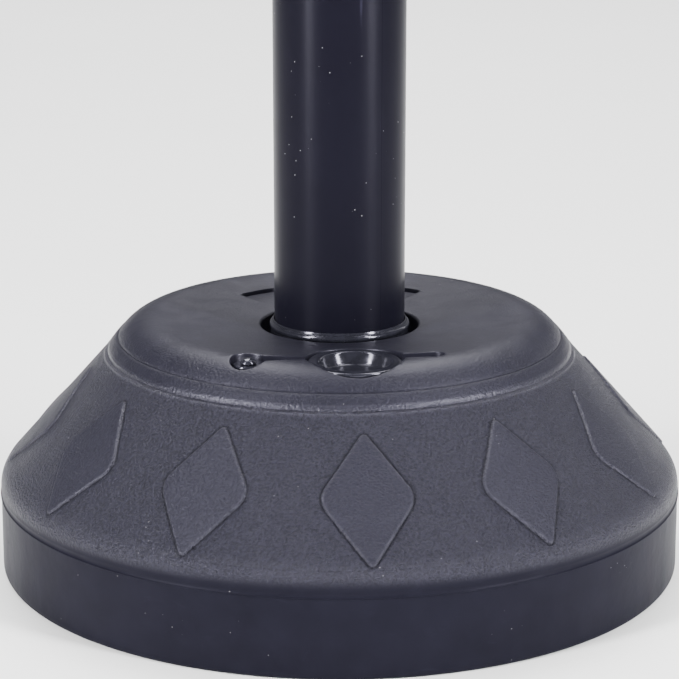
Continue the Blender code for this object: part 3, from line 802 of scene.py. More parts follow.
def diamond_quarter(grow):
    """The diamond's outline from its top tip to its side corner, grown outwards by grow."""
    base = base_settings()
    w, h = base.pad_half_width, base.pad_half_length
    slant = math.atan2(w, h)
    tip = h - TIP_ROUND / sin(slant)
    side = w - SIDE_ROUND / cos(slant)
    steps = HALF_TILE_STEPS + SIDE_STEPS
    tip_steps = 4
    side_steps = 7
    top = [degrees_to(90, math.degrees(slant), i / tip_steps) for i in range(tip_steps + 1)]
    corner = [degrees_to(math.degrees(slant), 0, i / side_steps) for i in range(side_steps + 1)]
    points = [((TIP_ROUND + grow) * cos(a), tip + (TIP_ROUND + grow) * sin(a)) for a in top]
    ends = [(side + (SIDE_ROUND + grow) * cos(a), (SIDE_ROUND + grow) * sin(a)) for a in corner]
    straight = steps - tip_steps - side_steps
    start, end = Vector(points[-1]), Vector(ends[0])
    points += [tuple(start.lerp(end, i / straight)) for i in range(1, straight)]
    return points + ends


def degrees_to(start, end, share):
    return radians(start + (end - start) * share)


def tile_border(half_angle):
    """The tile's edge as (angle, distance down the slope)."""
    quarter = [(i / HALF_TILE_STEPS, 1.0) for i in range(HALF_TILE_STEPS + 1)]
    quarter += [(1.0, 1 - i / SIDE_STEPS) for i in range(1, SIDE_STEPS + 1)]
    points = []
    for u, v in whole_loop(quarter):
        reach = PAD_MIDDLE - TILE_START if v > 0 else CONE_LENGTH - PAD_MIDDLE
        points.append((u * half_angle, PAD_MIDDLE - v * reach))
    return points


def pad_tile():
    """One twelfth of the cone, with its raised diamond and the crease round it."""
    base = base_settings()
    half_angle = pi / base.pad_count
    shape = bmesh.new()
    pad_layer = shape.verts.layers.float.new("pad")
    # The crease layer carries the mask for the painted shade in the crease round each diamond
    crease_layer = shape.verts.layers.float.new("crease")
    centre_angle = -pi / 2

    def on_cone(x, y):
        along = PAD_MIDDLE - y
        return math.asin(x / (CONE_TOP + CONE_RUN * along).x), along

    def ring(places, rise, pad, crease):
        made = []
        for angle, along in places:
            vert = shape.verts.new(cone_point(centre_angle + angle, along, rise))
            vert[pad_layer] = pad
            vert[crease_layer] = crease
            made.append(vert)
        return made

    innermost = whole_loop(diamond_quarter(PAD_EDGE[0][0]))
    rings = []
    for size in (0.2, 0.4, 0.6, 0.8, 0.93):
        places = [on_cone(x * size, y * size) for x, y in innermost]
        rings.append(ring(places, base.pad_rise, 1.0, 0.0))
    for grow, up, down in PAD_EDGE:
        places = [on_cone(x, y) for x, y in whole_loop(diamond_quarter(grow))]
        rise = base.pad_rise * up - base.pad_crease * down
        rings.append(ring(places, rise, up, down))
    border = tile_border(half_angle)
    for share in (0.08, 0.22, 0.42, 0.62, 0.82, 1.0):
        mixed = [(a + (p - a) * share, b + (q - b) * share) for (a, b), (p, q) in zip(places, border)]
        rings.append(ring(mixed, 0.0, 0.0, 0.0))
    bridge(shape, rings)
    count = len(border)
    hub = shape.verts.new(cone_point(centre_angle, PAD_MIDDLE, base.pad_rise))
    hub[pad_layer] = 1.0
    for i in range(count):
        shape.faces.new((hub, rings[0][(i + 1) % count], rings[0][i]))
    return to_mesh(shape, "pad_tile")


def shoulder_centre():
    base = base_settings()
    radius = base.shoulder_radius
    return (BAND_TOP.x - radius * sin(radians(56)), base.top_height - radius)


def top_level(x, y):
    """The height of the top at a point, over its dished part and its rounded shoulder."""
    base = base_settings()
    crest, level = shoulder_centre()
    round_r = base.shoulder_radius
    start = crest - round_r * sin(base.dish)
    r = sqrt(x * x + y * y)
    if r < start:
        return level + round_r * cos(base.dish) - (start - r) * tan(base.dish)
    return level + sqrt(max(round_r**2 - (r - crest) ** 2, 0))


def grip_dent(r, z, angle):
    """How deep the grip scoop is at a point of the top. It fades towards the pole and at its ends."""
    base = base_settings()
    if z < 0.13 or not GRIP_INNER < r < GRIP_OUTER + 0.0002:
        return 0.0
    off = abs((math.degrees(angle) - 90 + 180) % 360 - 180)
    ends = min(max((GRIP_ANGLE - off) / 3.0, 0.0), 1.0)
    ends = ends * ends * (3 - 2 * ends)
    across = (r - GRIP_INNER) / (GRIP_OUTER - GRIP_INNER)
    wall = min(max((GRIP_OUTER + 0.0002 - r) / 0.0006, 0.0), 1.0)
    return base.grip_depth * across**1.6 * wall * ends


def shell_profile():
    """The tank's outer face from the cone's foot round the underside, up the well and over the top."""
    base = base_settings()
    rim = base.rim_radius
    seam = base.seam_height
    fillet = arc((rim - base.fillet_radius, RIM_TOP), base.fillet_radius, 40, 0, 9)
    pinch = [
        (rim - 0.00005, seam + 0.0031),
        (rim - 0.00035, seam + 0.0024),
        (rim - 0.00030, seam + 0.0012),
        (rim - 0.00005, seam + 0.0005),
        (rim + 0.00035, seam + 0.00015),
        (rim + 0.00038, seam - 0.0001),
        (rim - 0.0001, seam - 0.0004),
        (rim - 0.0001, seam - 0.0010),
    ]
    rim_side = [(rim, 0.032), (rim + 0.0001, 0.018), (rim + 0.0002, 0.006)]
    foot = arc((rim - 0.0022, 0.0024), 0.0024, 0, -90, 6)
    under = [
        (0.1600, 0.0),
        *arc((0.1515, 0.0015), 0.0015, -90, -160, 4),
        (0.1470, 0.0065),
        *arc((0.1445, 0.0065), 0.0015, 0, 90, 4),
        (0.110, 0.008),
        (0.0640, 0.008),
        (0.0610, 0.0084),
        (0.0590, 0.0125),
        (0.0575, 0.0140),
        (0.0300, 0.0140),
        (0.0060, 0.0140),
        (0.0055, 0.0144),
        (0.0055, 0.0216),
        (0.0060, 0.0220),
        (0.0400, 0.0220),
        (0.0416, 0.0236),
        (0.0416, 0.1120),
    ]
    mouth = base.mouth_radius
    slope = math.degrees(base.dish)
    lip_r = 0.0018
    lip_top = top_level(mouth + lip_r, 0)
    lip = arc((mouth + lip_r, lip_top - lip_r), lip_r, 180, 90 + slope, 8)
    well = [(0.0430, 0.120), (0.0452, 0.130), (mouth - 0.0001, 0.1365), *lip]
    flat = [(r, top_level(r, 0)) for r in GRIP_ROWS]
    shoulder = arc(shoulder_centre(), base.shoulder_radius, 90 + slope, 35, 20)
    band_foot = CONE_TOP + Vector((-0.0011, 0.0020))
    band = [
        (BAND_TOP.x - 0.0001, BAND_TOP.y - 0.0002),
        (BAND_TOP.x - 0.0001, BAND_TOP.y - 0.0007),
        (BAND_TOP.x + 0.0002, BAND_TOP.y - 0.0010),
        (BAND_TOP.x + 0.0008, BAND_TOP.y - 0.0009),
        (BAND_TOP.x + 0.0014, BAND_TOP.y - 0.0011),
        (0.1324, 0.13145),
        (band_foot.x - 0.0008, band_foot.y + 0.0010),
        (band_foot.x - 0.0002, band_foot.y + 0.0003),
        (band_foot.x, band_foot.y - 0.0004),
        (band_foot.x - 0.0001, band_foot.y - 0.0012),
        (band_foot.x + 0.0001, band_foot.y - 0.0017),
        (band_foot.x + 0.0006, band_foot.y - 0.0019),
    ]
    crown = CONE_TOP + CONE_RUN * 0.0011 + CONE_OUT * 0.00025
    return [
        tuple(CONE_FOOT),
        *fillet,
        *pinch,
        *rim_side,
        *foot,
        *under,
        *well,
        *flat,
        *shoulder,
        *band,
        tuple(crown),
        tuple(CONE_TOP + CONE_RUN * TILE_START),
    ]


def cavity_mesh():
    """The space for the water or sand, less the thick places round the filler neck and the stud."""
    neck_y = middle("filler_plug").y
    stud = middle("strap_stud")
    profile = [
        (0.0495, 0.0170),
        (0.0495, 0.1360),
        *arc(shoulder_centre(), base_settings().shoulder_radius - 0.004, 95.6, 40, 6),
        (0.1341, 0.1226),
        (0.1938, 0.0570),
        (0.1962, 0.0500),
        (0.1960, 0.0050),
        (0.1940, 0.0030),
        (0.1530, 0.0030),
        (0.1490, 0.0110),
        (0.0650, 0.0110),
        (0.0610, 0.0170),
    ]
    cavity = turned("cavity", profile, 96)
    tall = 0.039
    thick_places = (
        ("neck_solid", circle_outline(0.031, (0, neck_y), 60), 0.1310),
        ("stud_solid", circle_outline(0.0135, (stud.x, neck_y), 44), 0.1340),
        ("channel_solid", bar_outline(0.056, stud.x, 0.009, neck_y), 0.1361),
    )
    solids = [stack(name, outline, [(z, 0), (z + tall, 0)]) for name, outline, z in thick_places]
    return combine(cavity, solids, "DIFFERENCE")


def rounded_pocket(floor, corner=0.0004):
    """Levels of a pocket in the top: a small fillet at its floor and a rounded edge at the surface."""
    return [
        (floor, -corner),
        (floor + corner * 0.3, -corner * 0.3),
        (floor + corner, 0.0),
        (lambda x, y: top_level(x, y) - 0.0006, 0.0),
        (lambda x, y: top_level(x, y) - 0.0003, 0.00008),
        (lambda x, y: top_level(x, y) - 0.0001, 0.00025),
        (lambda x, y: top_level(x, y) + 0.0001, 0.00060),
        (lambda x, y: top_level(x, y) + 0.0010, 0.00090),
        (0.152, 0.0010),
    ]


def pocket_meshes():
    """The seat of the plug over its neck, the channels of strap and tab, and the stud's seat."""
    plug = middle("filler_plug").y
    stud = middle("strap_stud").x
    neck = NECK_RADIUS - SEAT_RADIUS
    neck_levels = [
        (0.1200, neck),
        (PLUG_SEAT - 0.0012, neck),
        (PLUG_SEAT - 0.0004, neck + 0.0003),
        (PLUG_SEAT, neck + 0.0010),
    ]
    seat_levels = neck_levels + rounded_pocket(PLUG_SEAT)
    seat = stack("seat", circle_outline(SEAT_RADIUS, (0, plug)), seat_levels)
    stud_seat = stack(
        "stud_seat",
        circle_outline(0.0100, (stud, plug), 48),
        [(0.1365, -0.0075), (STRAP_FLOOR - 0.0002, -0.0075), *rounded_pocket(STRAP_FLOOR)],
    )
    strap_line = bar_outline(-0.015, stud + 0.003, 0.0052, plug)
    strap = stack("strap_way", strap_line, rounded_pocket(STRAP_FLOOR + 0.00005))
    tab_end = high("filler_plug").x + 0.0012
    tab_line = bar_outline(0.015, tab_end, 0.0056, plug)
    tab = stack("tab_way", tab_line, rounded_pocket(PLUG_SEAT + 0.0001))
    return [seat, stud_seat, strap, tab]


def seam_burrs():
    """Slivers of flash along the parting line."""
    base = base_settings()
    shape = bmesh.new()
    steps = 96
    ring = []
    for i in range(steps):
        a = 2 * pi * i / steps
        spot = (base.rim_radius * cos(a), base.rim_radius * sin(a), base.seam_height)
        ring.append(shape.verts.new(spot))
    for i in range(steps):
        shape.edges.new((ring[i], ring[(i + 1) % steps]))
    path = bpy.data.meshes.new("seam_path")
    shape.to_mesh(path)
    shape.free()
    values = {
        "Count": 90,
        "Length": 0.0050,
        "Height": 0.0007,
        "Depth": 0.0005,
        "Seed": 4,
        "Finish": moulded_plastic(),
    }
    return run_tree(path, burr_tree(), values, "seam_burrs")


def build_base():
    base = base_settings()
    tile = pad_tile()
    values = {"Count": base.pad_count, "Weld": 0.000004, "Finish": moulded_plastic()}
    pads = run_tree(tile, repeat_round_tree(), values, "base_shell")
    shape = bmesh.new()
    shape.from_mesh(pads)
    steps = 2 * HALF_TILE_STEPS * base.pad_count
    lathe(shape, shell_profile(), steps, dent=grip_dent)
    bmesh.ops.remove_doubles(shape, verts=shape.verts, dist=0.00001)
    open_edges = [edge for edge in shape.edges if len(edge.link_faces) != 2]
    if open_edges:
        raise RuntimeError(f"the base shell has {len(open_edges)} open edges")
    shell = to_mesh(shape, "base_shell")
    hollow = combine(cavity_mesh(), pocket_meshes(), "UNION")
    shell = combine(shell, [hollow], "DIFFERENCE")
    thing = piece("base_shell", shell, "base", moulded_plastic(), ["base_tank"], 35)
    burrs = piece("seam_flash", seam_burrs(), "base", moulded_plastic(), [], 60)
    return thing, burrs


# ---------------------------------------------------------------- plug, strap and stud


def build_plug():
    """The plug: a cup with sealing ribs under a round flange, and a pull tab with a thick end."""
    plug = middle("filler_plug").y
    top = high("filler_plug").z
    foot = low("filler_plug").z
    flange = 0.0260
    seat = PLUG_SEAT + GAP
    inner = 0.0196
    outer = 0.0227
    skirt = 0.0188
    floor = CUP_FLOOR
    ribs = []
    for z in (0.1360, 0.1320, 0.1280):
        ribs += [(outer, z + 0.0010), (outer + 0.0002, z), (outer, z - 0.0010)]
    profile = [
        (0, floor + 0.0001),
        (0.0120, floor),
        (0.0160, floor + 0.0001),
        *arc((0.0164, floor + 0.0016), 0.0015, -80, -10, 7),
        (inner - 0.0009, floor + 0.0032),
        (inner, top - 0.0013),
        *arc((inner + 0.0013, top - 0.0013), 0.0013, 170, 90, 8),
        (inner + 0.0024, top - 0.0001),
        (flange - 0.0022, top - 0.0002),
        *arc((flange - 0.0012, top - 0.0013), 0.0012, 80, 0, 8),
        (flange, seat + 0.0003),
        (flange - 0.0003, seat),
        (outer, seat),
        *ribs,
        (outer - 0.0007, foot + 0.0012),
        *arc((outer - 0.0019, foot + 0.0012), 0.0012, 0, -90, 5),
        (skirt + 0.0006, foot),
        (skirt, foot + 0.0006),
        *arc((skirt - 0.0012, floor - 0.0037), 0.0012, 0, 90, 5),
        (0, floor - 0.0025),
    ]
    cup = turned("filler_plug_cup", profile, 128, Matrix.Translation((0, plug, 0)))
    end = high("filler_plug").x
    slab = 0.0024
    rounding = [(0.0, -0.0006), (0.0002, -0.0002), (0.0006, 0.0)]
    tab_foot = top - 0.0006 - slab
    tab_levels = [(tab_foot + up, grow) for up, grow in rounding]
    tab_levels += [(tab_foot + slab - up, grow) for up, grow in rounding[::-1]]
    tab = stack("tab", bar_outline(outer + 0.0012, end - 0.0004, 0.0040, plug), tab_levels)
    knob_levels = [
        (tab_foot, -0.0008),
        (tab_foot + 0.0006, 0.0),
        (top - 0.0008, 0.0),
        (top - 0.0002, -0.0005),
        (top, -0.0013),
    ]
    knob = stack("knob", circle_outline(0.0045, (end - 0.0045, plug), 40), knob_levels)
    bars = []
    for x in (end - 0.0120, end - 0.0145, end - 0.0170):
        across = bar_outline(-0.0030, 0.0030, 0.0005, 0)
        turn = Matrix.Translation((x, plug, 0)) @ Matrix.Rotation(pi / 2, 4, "Z")
        face = tab_foot + slab
        levels = [(face - 0.0006, 0.0), (face + 0.0002, 0.0), (face + 0.0005, -0.0003)]
        bars.append(stack("grip_bar", across, levels, turn))
    mesh = combine(cup, [tab, knob, *bars], "UNION")
    return piece("filler_plug_moulded", mesh, "plug", soft_vinyl(), ["filler_plug"], 35)


def build_strap():
    """The strap, flat in its channel, with a round end under the stud."""
    lo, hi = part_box("plug_strap")
    stud = middle("strap_stud")
    half = 0.0035
    thick = hi.z - lo.z
    end_round = (hi.y - lo.y) / 2
    shape = bmesh.new()
    rows = 72
    rings = []
    for i in range(rows + 1):
        share = i / rows
        x = lo.x + 0.00005 + (hi.x - lo.x - 0.0001) * share
        off = min(abs(x - stud.x) / end_round, 1.0)
        disc = end_round * sqrt(max(1 - off * off, 0.0))
        neck = half if x > stud.x else 0.0
        past_end = (x - stud.x - end_round) / 0.0015
        blend = 0.0012 * math.exp(-(past_end**2)) if x > stud.x else 0.0
        w = max(disc, neck, 0.0006) + blend
        edge = min(0.0005, w * 0.4)
        section = [
            (w - edge, lo.z),
            (w, lo.z + edge),
            (w, hi.z - edge * 1.2),
            (w - edge, hi.z - 0.00005),
            (w * 0.5, hi.z - 0.00012),
            (0, hi.z - 0.00015),
        ]
        left = [(-y, z) for y, z in section[-2::-1]]
        rings.append([shape.verts.new((x, stud.y + y, z)) for y, z in section + left])
    bridge(shape, rings)
    close_ends(shape, rings)
    mesh = to_mesh(shape, "plug_strap_moulded")
    hole_line = circle_outline(0.0026, (stud.x, stud.y), 32)
    hole = stack("hole", hole_line, [(lo.z - thick, 0), (hi.z + thick, 0)])
    mesh = combine(mesh, [hole], "DIFFERENCE")
    strap = piece("plug_strap_moulded", mesh, None, soft_vinyl(), ["plug_strap"], 40)
    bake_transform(strap)
    return strap


def build_stud():
    """The domed stud, with a small flat on its crown."""
    lo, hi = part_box("strap_stud")
    spot = middle("strap_stud")
    head = hi.x - spot.x
    under = high("plug_strap").z + GAP
    edge = 0.0003
    rise = hi.z - under - edge
    turns = [radians(a) for a in range(6, 91, 7)]
    dome = [(head * sin(a), under + edge + rise * cos(a)) for a in turns]
    profile = [
        (0, hi.z),
        *dome,
        (head - 0.0002, under),
        (0.0022, under),
        (0.0022, lo.z + 0.0004),
        (0.0017, lo.z),
        (0, lo.z),
    ]
    mesh = turned("strap_stud_domed", profile, 48, Matrix.Translation((spot.x, spot.y, 0)))
    return piece("strap_stud_domed", mesh, "base", soft_vinyl(), ["strap_stud"])


# ---------------------------------------------------------------- pole


def build_sleeve():
    """The sleeve at the pole's foot: a thin lip against the pole and a rolled bead below it."""
    top = high("pole_sleeve").z
    foot = low("pole_sleeve").z
    wide = high("pole_sleeve").x
    inside = bpy.context.scene.tetherball_pole.radius + GAP
    bead = 0.0023
    profile = [
        (inside, top - 0.0003),
        (inside + 0.0002, top),
        (inside + 0.0006, top - 0.0001),
        (inside + 0.0008, top - 0.0006),
        (inside + 0.0009, top - 0.0012),
        *arc((wide - bead, top - 0.0034), bead, 72, -60, 18),
        (wide - 0.0009, top - 0.0062),
        (wide - 0.0006, top - 0.0076),
        (wide - 0.0005, 0.1150),
        (wide - 0.0005, foot + 0.0008),
        (wide - 0.0010, foot),
        (inside + 0.0004, foot),
        (inside, foot + 0.0004),
    ]
    mesh = turned("pole_sleeve_rolled", profile, 160)
    return piece("pole_sleeve_rolled", mesh, "base", soft_vinyl(), ["pole_sleeve"], 50)


def side_hole(height, radius, side):
    """A round bar along Y through one wall of the pole, flared at the surface."""
    pole = bpy.context.scene.tetherball_pole
    flare = 0.0005
    levels = [
        (pole.radius - 0.010, 0.0),
        (pole.radius - 0.0006, 0.0),
        (pole.radius - 0.0002, 0.0001),
        (pole.radius + 0.0002, flare),
        (pole.radius + 0.004, flare * 1.4),
    ]
    turn = Matrix.Translation((0, 0, height)) @ Matrix.Rotation(-side * pi / 2, 4, "X")
    return stack("side_hole", circle_outline(radius, (0, 0), 40), levels, turn)


def build_pole():
    pole = bpy.context.scene.tetherball_pole
    rivet = 0.0026
    button = 0.00515
    holes = {
        "pole_lower": [
            (middle("rivet_lower_front").z, rivet, -1),
            (middle("rivet_lower_back").z, rivet, 1),
        ],
        "pole_middle": [
            (middle("snap_pin_lower").z, button, -1),
            (middle("rivet_upper_front").z, rivet, -1),
            (middle("rivet_upper_back").z, rivet, 1),
        ],
        "pole_upper": [(middle("snap_pin_upper").z, button, -1)],
    }
    made = []
    for node, bores in holes.items():
        lo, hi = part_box(node)
        small = pole.end_round
        inside = pole.radius - pole.wall
        profile = [
            (inside, hi.z - small * 0.5),
            (inside + small * 0.5, hi.z),
            *arc((pole.radius - small, hi.z - small), small, 90, 0, 5),
            *[(pole.radius, lo.z + (hi.z - lo.z) * share) for share in (0.9, 0.7, 0.5, 0.3, 0.1)],
            *arc((pole.radius - small, lo.z + small), small, 0, -90, 5),
            (inside + small * 0.5, lo.z),
            (inside, lo.z + small * 0.5),
        ]
        mesh = turned(f"{node}_tube", profile, 128)
        mesh = combine(mesh, [side_hole(*bore) for bore in bores], "DIFFERENCE")
        made.append(piece(f"{node}_tube", mesh, "base", pole_paint(), [node], 35))
    return made


def build_rivets():
    """The blind rivets, set at their four places by a node tree."""
    nodes = [f"rivet_{joint}_{side}" for joint in ("lower", "upper") for side in ("front", "back")]
    pole = bpy.context.scene.tetherball_pole
    face = high("rivet_lower_back").y
    tail = low("rivet_lower_back").y
    head = 0.0040
    profile = [
        (0, face - 0.0004),
        (0.0007, face - 0.0004),
        (0.0009, face),
        (0.0016, face - 0.0001),
        *arc((0.0020, face - 0.0024), 0.0021, 75, 10, 7),
        (head, pole.radius + 0.0004),
        (head - 0.0001, pole.radius + 0.0002),
        (0.0023, pole.radius + 0.0002),
        (0.0023, tail + 0.0032),
        *arc((0.0016, tail + 0.0020), 0.0017, 40, -60, 7),
        (0.0006, tail),
        (0, tail),
    ]
    rivet = temporary(turned("rivet", profile, 32, Matrix.Rotation(-pi / 2, 4, "X")))
    points = bpy.data.meshes.new("rivet_places")
    places = [middle(node) for node in nodes]
    points.from_pydata([(0, 0, spot.z) for spot in places], [], [])
    turn = points.attributes.new("turn", "FLOAT", "POINT")
    turn.data.foreach_set("value", [0.0 if spot.y > 0 else pi for spot in places])
    values = {"Fastener": rivet, "Finish": bright_zinc()}
    mesh = run_tree(points, fastener_tree(), values, "pole_rivets")
    bpy.data.objects.remove(rivet, do_unlink=True)
    return piece("pole_rivets", mesh, "base", bright_zinc(), nodes, 40)


def build_buttons():
    """The two snap buttons, each on its own body."""
    made = []
    for word in ("lower", "upper"):
        node = f"snap_pin_{word}"
        lo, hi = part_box(node)
        nose, tail = -lo.y, -hi.y
        shank = 0.0048
        collar = (hi.x - lo.x) / 2
        rise = 0.0034
        turns = [radians(a) for a in range(8, 91, 8)]
        dome = [(shank * sin(a), nose - rise + rise * cos(a)) for a in turns]
        profile = [
            (0, nose),
            *dome,
            (shank, nose - 0.0040),
            (shank, tail + 0.0020),
            (collar - 0.0003, tail + 0.0018),
            (collar, tail + 0.0015),
            (collar, tail + 0.0003),
            (collar - 0.0003, tail),
            (0, tail),
        ]
        turn = Matrix.Translation((0, 0, middle(node).z)) @ Matrix.Rotation(pi / 2, 4, "X")
        mesh = turned(f"snap_button_{word}", profile, 48, turn)
        name = f"snap_button_{word}"
        made.append(piece(name, mesh, f"button_{word}", bright_zinc(), [node]))
    return made


def strip_outline(centre, thick):
    """A bent strip, seen from its side, about the middle line that its points give."""

    def points(grow):
        half = thick / 2 + grow
        left, right = [], []
        for i, spot in enumerate(centre):
            before, after = centre[max(i - 1, 0)], centre[min(i + 1, len(centre) - 1)]
            along = (after - before).normalized()
            out = Vector((-along.y, along.x)) * half
            left.append(tuple(spot + out))
            right.append(tuple(spot - out))
        return left + right[::-1]

    return points


def build_springs():
    """The V springs: strips of steel bent into a V, one leg against the coupler."""
    thick = 0.0009
    half_end = 0.005
    bend = 0.006
    steps = 10
    made = []
    for word in ("lower", "upper"):
        node = f"snap_spring_{word}"
        lo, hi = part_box(node)
        height = hi.z - half_end
        fold = lo.z + bend - height
        turn = arc((0, fold), bend - thick / 2, 0, -180, 13)
        corners = [(hi.y - thick / 2, -half_end), turn[0], turn[-1], (lo.y + thick / 2, -half_end)]
        back, near_back, near_front, front = [Vector(corner) for corner in corners]
        centre = [Vector((back.x, half_end))]
        centre += [back.lerp(near_back, i / steps) for i in range(steps)]
        centre += [Vector(spot) for spot in turn]
        centre += [near_front.lerp(front, i / steps) for i in range(1, steps + 1)]
        centre.append(Vector((front.x, half_end)))
        width = (hi.x - lo.x) / 2
        levels = [(-width, -0.0002), (0.0002 - width, 0), (width - 0.0002, 0), (width, -0.0002)]
        stand = Matrix(((0, 0, 1, 0), (1, 0, 0, 0), (0, 1, 0, height), (0, 0, 0, 1)))
        mesh = stack(f"{node}_strip", strip_outline(centre, thick), levels, stand)
        spring = piece(f"{node}_strip", mesh, None, spring_steel(), [node], 40)
        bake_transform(spring)
        made.append(spring)
    return made


def hexagon_outline(across):
    radius = across / sqrt(3)

    def points(grow):
        r = radius + grow
        return [(r * cos(radians(a)), r * sin(radians(a))) for a in range(0, 360, 60)]

    return points


def build_foot_hardware():
    """The bolt and the wide washer under the base."""
    lo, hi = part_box("foot_bolt")
    across = hi.y - lo.y
    head = 0.0055
    corner = across / sqrt(3)
    hexed = stack("hex", hexagon_outline(across), [(lo.z, 0), (lo.z + head, 0)])
    crown = turned(
        "crown",
        [
            (0, lo.z + head + 0.001),
            (corner + 0.001, lo.z + head + 0.001),
            (corner + 0.001, lo.z + 0.0014),
            (across / 2 - 0.0002, lo.z),
            (0, lo.z),
        ],
        64,
    )
    hexed = combine(hexed, [crown], "INTERSECT")
    shank_profile = [
        (0, hi.z),
        (0.0042, hi.z),
        (0.0048, hi.z - 0.0006),
        (0.0048, lo.z + 0.003),
        (0, lo.z + 0.003),
    ]
    shank = turned("shank", shank_profile)
    bolt = combine(hexed, [shank], "UNION")
    made = [piece("foot_bolt_hex", bolt, "base", bright_zinc(), ["foot_bolt"], 25)]
    made.append(build_washer("foot_washer", 0.0053))
    return made


def build_washer(node, hole):
    """A pressed washer: one edge rolled over, the other sharp."""
    lo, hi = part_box(node)
    outer = hi.x
    thick = hi.z - lo.z
    roll = thick * 0.4
    profile = [
        (hole + roll * 0.5, hi.z),
        (outer - 0.0001, hi.z),
        (outer, hi.z - 0.0001),
        *arc((outer - roll, lo.z + roll), roll, 0, -90, 5),
        (hole + 0.0001, lo.z),
        (hole, lo.z + 0.0001),
        (hole, hi.z - roll * 0.5),
    ]
    mesh = turned(f"{node}_pressed", profile, 64)
    return piece(f"{node}_pressed", mesh, "base", bright_zinc(), [node], 40)


# ---------------------------------------------------------------- swivel head


def build_cap():
    """The cap in the pole's top: a domed crown over a short skirt, with the bush in its middle."""
    lo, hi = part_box("top_cap")
    pole = bpy.context.scene.tetherball_pole
    crown, edge = hi.z, hi.x
    seat = low("top_cap").z + 0.030
    inside = pole.radius - pole.wall - GAP
    hole = 0.0076
    profile = [
        (hole, crown - 0.0005),
        (hole + 0.0005, crown),
        (0.0150, crown - 0.0001),
        (0.0170, crown - 0.0004),
        (0.0240, crown - 0.0020),
        (0.0300, crown - 0.0042),
        (0.0345, crown - 0.0066),
        (0.0372, crown - 0.0086),
        (0.0386, crown - 0.0100),
        (edge - 0.0002, crown - 0.0112),
        (edge, crown - 0.0122),
        (edge, seat + 0.0005),
        (edge - 0.0005, seat),
        (inside, seat),
        (inside, seat - 0.0290),
        (inside - 0.0010, lo.z),
        (inside - 0.0025, lo.z),
        (inside - 0.0025, crown - 0.0110),
        (0.0180, crown - 0.0080),
        (hole, crown - 0.0080),
    ]
    mesh = turned("top_cap_moulded", profile, 128)
    cap = piece("top_cap_moulded", mesh, "base", nylon(), ["top_cap"], 40)
    lo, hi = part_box("swivel_bush")
    bore = 0.0054
    bush_profile = [
        (bore, hi.z - 0.0003),
        (bore + 0.0003, hi.z),
        (0.0107, hi.z),
        (0.0110, hi.z - 0.0003),
        (0.0110, hi.z - 0.0018),
        (0.0108, hi.z - 0.0020),
        (0.0073, hi.z - 0.0020),
        (0.0073, lo.z),
        (bore, lo.z),
    ]
    mesh = turned("swivel_bush_moulded", bush_profile)
    bush = piece("swivel_bush_moulded", mesh, "base", nylon(), ["swivel_bush"], 40)
    return cap, bush, build_washer("swivel_washer_top", bore)


def round_wire(points, radius, sides=20):
    """A tube with closed ends, along points that lie in a level plane."""
    shape = bmesh.new()
    rings = []
    count = len(points)
    for i, point in enumerate(points):
        before = points[max(i - 1, 0)]
        after = points[min(i + 1, count - 1)]
        along = (Vector(after) - Vector(before)).normalized()
        side = Vector((0, 0, 1)).cross(along).normalized()
        up = along.cross(side)
        ring = []
        for k in range(sides):
            a = 2 * pi * k / sides
            ring.append(shape.verts.new(Vector(point) + radius * (cos(a) * side + sin(a) * up)))
        rings.append(ring)
    bridge(shape, rings)
    close_ends(shape, rings)
    return to_mesh(shape, "wire")


def build_eye():
    """The forged eye: a ring that runs into a collar on a round stem."""
    lo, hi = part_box("swivel_eye")
    wire = 0.004
    ring_r = hi.x - wire
    centre = hi.z - ring_r - wire
    collar = centre - ring_r - 0.006
    stand = Matrix.Translation((0, 0, centre)) @ Matrix.Rotation(pi / 2, 4, "X")
    ring = turned("eye_ring", arc((ring_r, 0), wire, 0, -337.5, 16), 64, stand)
    stem = 0.005
    profile = [
        (0, collar + 0.0062),
        (0.0048, collar + 0.0060),
        (0.0062, collar + 0.0046),
        (0.0078, collar + 0.0032),
        (0.0085, collar + 0.0022),
        (0.0085, collar + 0.0001),
        (stem, collar),
        (stem, lo.z + 0.0008),
        (stem - 0.0008, lo.z),
        (0, lo.z),
    ]
    mesh = forged("swivel_eye_forged", [ring, turned("eye_stem", profile, 48)], 0.00042, 6)
    return piece("swivel_eye_forged", mesh, "swivel", bright_zinc(), ["swivel_eye"])


SHACKLE_LIE = radians(30)
SHACKLE_REACH = 0.038
SHACKLE_HALF = 0.0085


def shackle_frame():
    """The shackle's own frame: origin on the pin, X along the bow as it lies."""
    joint = next(j for j in frame["joints"] if j["name"] == "shackle_swing")
    spot = Vector(joint["pos_m"])
    return Matrix.Translation(spot) @ Matrix.Rotation(SHACKLE_LIE, 4, "Y")


